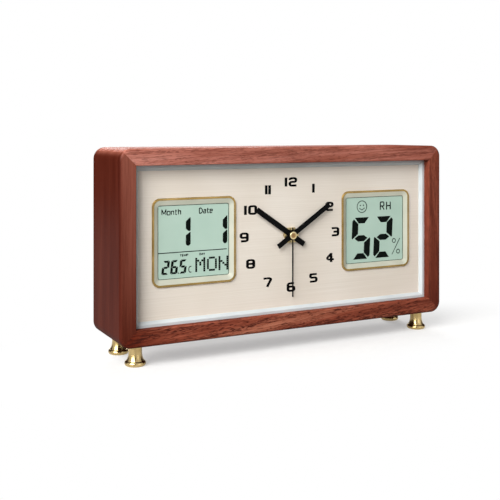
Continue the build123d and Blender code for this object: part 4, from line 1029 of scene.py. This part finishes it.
# %% Letters, words and the painted shade at the displays' edges
LETTER_GAP = 0.3
LETTER_SHAPES = {
    "A": "0,0 0.38,1 0.76,0 | 0.14,0.34 0.62,0.34",
    "D": "o 0,0 0.4,0 0.68,0.25 0.68,0.75 0.4,1 0,1",
    "E": "0.5,1 0,1 0,0 0.5,0 | 0,0.52 0.46,0.52",
    "H": "0,0 0,1 | 0.62,0 0.62,1 | 0,0.5 0.62,0.5",
    "M": "0,0 0,1.1 | 0.02,1 0.44,0.2 | 0.44,0.2 0.86,1 | 0.88,1.1 0.88,0",
    "P": "0,0 0,1 0.55,1 0.55,0.48 0,0.48",
    "R": "0,0 0,1 0.6,1 0.6,0.48 0,0.48 | 0.28,0.48 0.66,0",
    "T": "0,1 0.7,1 | 0.35,1 0.35,0",
    "Y": "0,1 0.35,0.48 0.7,1 | 0.35,0.48 0.35,0",
    "a": "0.06,0.7 0.5,0.7 0.5,0 | 0.5,0.4 0,0.4 0,0 0.5,0",
    "e": "0,0.36 0.54,0.36 0.54,0.7 0,0.7 0,0 0.5,0",
    "h": "0,0 0,1.06 | 0,0.7 0.5,0.7 0.5,0",
    "n": "0,0 0,0.76 | 0,0.7 0.5,0.7 0.5,0",
    "o": "o 0,0 0.58,0 0.58,0.7 0,0.7",
    "t": "0.16,0.98 0.16,0 0.42,0 | 0,0.7 0.4,0.7",
}


def written(text, left, bottom, width, height):
    """The strokes of a word that starts at left and bottom and has this width and height."""
    laid, pen_at = [], 0.0
    for letter in text:
        shape = read_strokes(LETTER_SHAPES[letter])
        laid += [(closed, [(pen_at + x, y) for x, y in points]) for closed, points in shape]
        pen_at += max(x for _, points in shape for x, _ in points) + LETTER_GAP
    squeeze = width / (pen_at - LETTER_GAP)
    return [(closed, [(left + x * squeeze, bottom + y * height) for x, y in points])
            for closed, points in laid]


words = {
    # piece: display's side, pen's width, corner radius, and word: left, bottom, width, height
    "calendar_headings": (-FRAME_SIDE, 0.8, 0.25, {
        "Month": (-28.6, 22.6, 16.6, 4.2), "Date": (5.0, 22.8, 11.9, 4.2)}),
    "calendar_captions": (-FRAME_SIDE, 0.5, 0.1, {
        "TEMP": (-12.6, -12.3, 7.2, 1.6), "DAY": (5.2, -12.25, 4.8, 1.6)}),
    "humidity_letters": (FRAME_SIDE, 1.2, 0.9, {
        "R": (6.4, 17.8, 4.5, 7.3), "H": (13.6, 17.8, 4.3, 7.3)}),
}
for name, (side, pen_width, corner, places) in words.items():
    lines = [line for word, place in places.items() for line in written(word, *place)]
    draw_lines(name, lines, pen_width, corner, side, segment_black)

# A thin dark line round each display's picture: painted shade of the gap where the glass goes
# under its frame.
EDGE_LEFT, EDGE_RIGHT, EDGE_LOW, EDGE_HIGH = -32.0, 32.2, -30.2, 30.2
gap_shade_line = [(True, [(EDGE_LEFT, EDGE_LOW), (EDGE_RIGHT, EDGE_LOW), (EDGE_RIGHT, EDGE_HIGH),
                     (EDGE_LEFT, EDGE_HIGH)])]
for display, side in (("calendar", -FRAME_SIDE), ("humidity", FRAME_SIDE)):
    draw_lines(display + "_edge_line", gap_shade_line, 0.42, 1.5, side, faint_black)

# %% [markdown]
# ## Floor and surroundings
#
# A catalogue shot stands on white. Making a floor white by pouring light on it would burn
# out the clock too. So the surroundings are plain white only where the camera sees them,
# directly or in a mirror or glass, and a soft grey light where they shine on the clock.
# The floor mixes white into what the camera sees: a little under the clock, so that its
# shadow stays, and more outwards over an oval as long as the clock, until all is white.
# What it throws back up at the clock is greyer, or that light would wash the shade out of
# the dial's corners.

# %% White surroundings that give soft light
SKY_LIGHT = 0.13


def rays_of_the_picture(tree):
    """1 for rays that come from the camera, also by way of a mirror or glass, and else 0."""
    rays = add_node(tree, "LightPath")
    direct = add_node(tree, "Math", {0: rays.outputs["Is Camera Ray"],
        1: rays.outputs["Is Glossy Ray"]}, operation="MAXIMUM")
    return add_node(tree, "Math", {0: direct, 1: rays.outputs["Is Transmission Ray"]},
        operation="MAXIMUM")


world = bpy.data.worlds.new("studio")
world.use_nodes = True
tree = world.node_tree
tree.nodes.clear()
seen = rays_of_the_picture(tree)
soft = add_node(tree, "Background", {"Color": "#FFFFFF", "Strength": SKY_LIGHT})
white = add_node(tree, "Background", {"Color": "#FFFFFF", "Strength": 1.0})
chosen = add_node(tree, "MixShader", {0: seen, 1: soft, 2: white})
add_node(tree, "OutputWorld", {"Surface": chosen})
bpy.context.scene.world = world

# %% Pale floor
FLOOR_SIDE = 6.0
WHITE_NEAR, WHITE_FAR = 0.35, 1.0          # share of plain white in what the camera sees
NEAR, FAR = 0.10, 0.34                     # distances from the clock's middle along x
NARROWER = 3.0                             # along y they are this many times less
BOUNCE = "#7C7B79"                         # what the floor throws up at the clock

material, tree, shader = bare_finish("pale_paper_floor", Roughness=0.9, Specular_IOR_Level=0.2)
tooth = blots(tree, (6, 6, 6), 3.0, 1.0)
paper = add_node(tree, "ValToRGB", {"Fac": tooth}, [(0.3, "#F0EFED"), (0.7, "#F6F5F3")])
seen = rays_of_the_picture(tree)
colour = add_node(tree, "Mix", {BLEND: seen, COLOUR_A: BOUNCE, COLOUR_B: paper},
    data_type="RGBA")
connect(shader, {"Base Color": colour})
place = add_node(tree, "TexCoord")
oval = add_node(tree, "VectorMath", {0: place.outputs["Object"], 1: (1, NARROWER, 1)},
    operation="MULTIPLY")
distance = add_node(tree, "VectorMath", {0: oval}, operation="LENGTH")
share = add_node(tree, "MapRange", {"Value": distance, "From Min": NEAR, "From Max": FAR,
    "To Min": WHITE_NEAR, "To Max": WHITE_FAR}, interpolation_type="SMOOTHSTEP")
amount = add_node(tree, "Math", {0: seen, 1: share}, operation="MULTIPLY")
white = add_node(tree, "Emission", {"Color": "#FFFFFF", "Strength": 1.0})
mixed = add_node(tree, "MixShader", {0: amount, 1: shader, 2: white})
output = next(node for node in tree.nodes if node.type == "OUTPUT_MATERIAL")
connect(output, {"Surface": mixed})

half = FLOOR_SIDE / 2
sheet = bpy.data.meshes.new("floor")
sheet.from_pydata([(-half, -half, 0), (half, -half, 0), (half, half, 0), (-half, half, 0)],
                  [], [(0, 1, 2, 3)])
sheet.materials.append(material)
new_object("floor", sheet)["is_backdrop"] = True

# %% [markdown]
# ## Lamps
#
# The main lamp is a large panel in front, up and to the left: the clock's edge shades the
# left and top of the dial, and the hands' shadows fall to the lower right. The case's left
# side gets less of it than the front. A second, weak panel on the right opens the shadows,
# and one behind the clock lights its back for the other views.
#
# A panel's power follows from the light that it should give: a surface that faces a small
# lamp at distance r gets power / (pi r squared), and a white one then looks as bright as
# that over pi.

# %% Soft panels
def panel(name, place, aim, side, level):
    """A square lamp at this place, which gives this share of full light where it aims."""
    lamp = bpy.data.lights.new(name, "AREA")
    lamp.size = side
    way = Vector(aim) - Vector(place)
    lamp.energy = level * math.pi ** 2 * way.length_squared
    holder = new_object(name, lamp)
    holder.location = place
    holder.rotation_euler = way.to_track_quat("-Z", "Y").to_euler()
    holder.visible_camera = False
    print(name, round(lamp.energy, 1), "W")


MIDDLE = (0, 0, 0.09)
panel("main_panel", (-1.35, -0.85, 1.11), MIDDLE, 1.4, 1.87)
panel("front_panel", (0.7, -1.8, 0.4), MIDDLE, 0.8, 0.07)
panel("back_panel", (0.5, 1.7, 0.9), MIDDLE, 0.9, 0.75)

# %% [markdown]
# ## Dark cards for the metals
#
# Polished metal shows its surroundings, and an all white studio makes it look like flat
# paint. A photographer stands dark cards just outside the picture, so that a round foot
# gets dark edges and a dark line between its bright streaks. These cards are seen in
# reflections only: they take no light from the clock and throw no shadow.

# %% Cards
LOOK_ANGLE = 27.4                          # from straight ahead to the camera's direction
CARD_LOW, CARD_HIGH = 0.02, 1.2


def card(name, direction, half_angle, reach, dark, light):
    """An upright dark card that faces the clock, in the direction so many degrees from -y.

    half_angle is half its width as the clock sees it, in degrees, and reach its distance."""
    material, tree, shader = bare_finish(name + "_cloth", Roughness=0.9, Specular_IOR_Level=0.1)
    weave = blots(tree, (3, 3, 3), 2.0, 1.0)
    colour = add_node(tree, "ValToRGB", {"Fac": weave}, [(0.3, dark), (0.7, light)])
    connect(shader, {"Base Color": colour})
    corners = []
    for side, height in ((-1, CARD_LOW), (1, CARD_LOW), (1, CARD_HIGH), (-1, CARD_HIGH)):
        angle = math.radians(direction + side * half_angle)
        corners.append((reach * math.sin(angle), -reach * math.cos(angle), height))
    mesh = bpy.data.meshes.new(name)
    mesh.from_pydata(corners, [], [(0, 1, 2, 3)])
    mesh.materials.append(material)
    holder = new_object(name, mesh)
    for ray in ("camera", "diffuse", "transmission", "volume_scatter", "shadow"):
        setattr(holder, "visible_" + ray, False)
    holder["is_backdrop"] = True


card("camera_card", -LOOK_ANGLE, 9, 1.4, "#262320", "#2E2A26")
card("right_card", 105, 38, 1.2, "#362926", "#3E302C")
card("left_card", -150, 30, 1.2, "#362926", "#3E302C")

# %% [markdown]
# ## Camera
#
# The camera stands to the left of the clock and a little above it, held level, so that the
# clock's upright edges stay upright in the picture. It looks 27.4 degrees to the right of
# straight ahead. A level camera would put the clock low in the frame, so the lens is
# shifted down, as with a view camera.

# %% Camera
SENSOR = 36.0
PICTURE = 500                              # width and height of the picture, in pixels
FOCAL_PIXELS = 850
HORIZON_ROW = 132

view = bpy.data.cameras.new("camera")
view.sensor_fit = "HORIZONTAL"
view.sensor_width = SENSOR
view.lens = FOCAL_PIXELS / PICTURE * SENSOR
view.shift_y = (HORIZON_ROW - PICTURE / 2) / PICTURE
camera = new_object("camera", view)
camera.location = (-0.377, -0.6755, 0.189)
camera.rotation_euler = (math.pi / 2, 0, -math.radians(LOOK_ANGLE))
bpy.context.scene.camera = camera
bpy.context.scene.view_settings.view_transform = "Standard"
print("lens", round(view.lens, 1), "mm, shift", view.shift_y)

# %% The box round all that is shown
low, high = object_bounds()
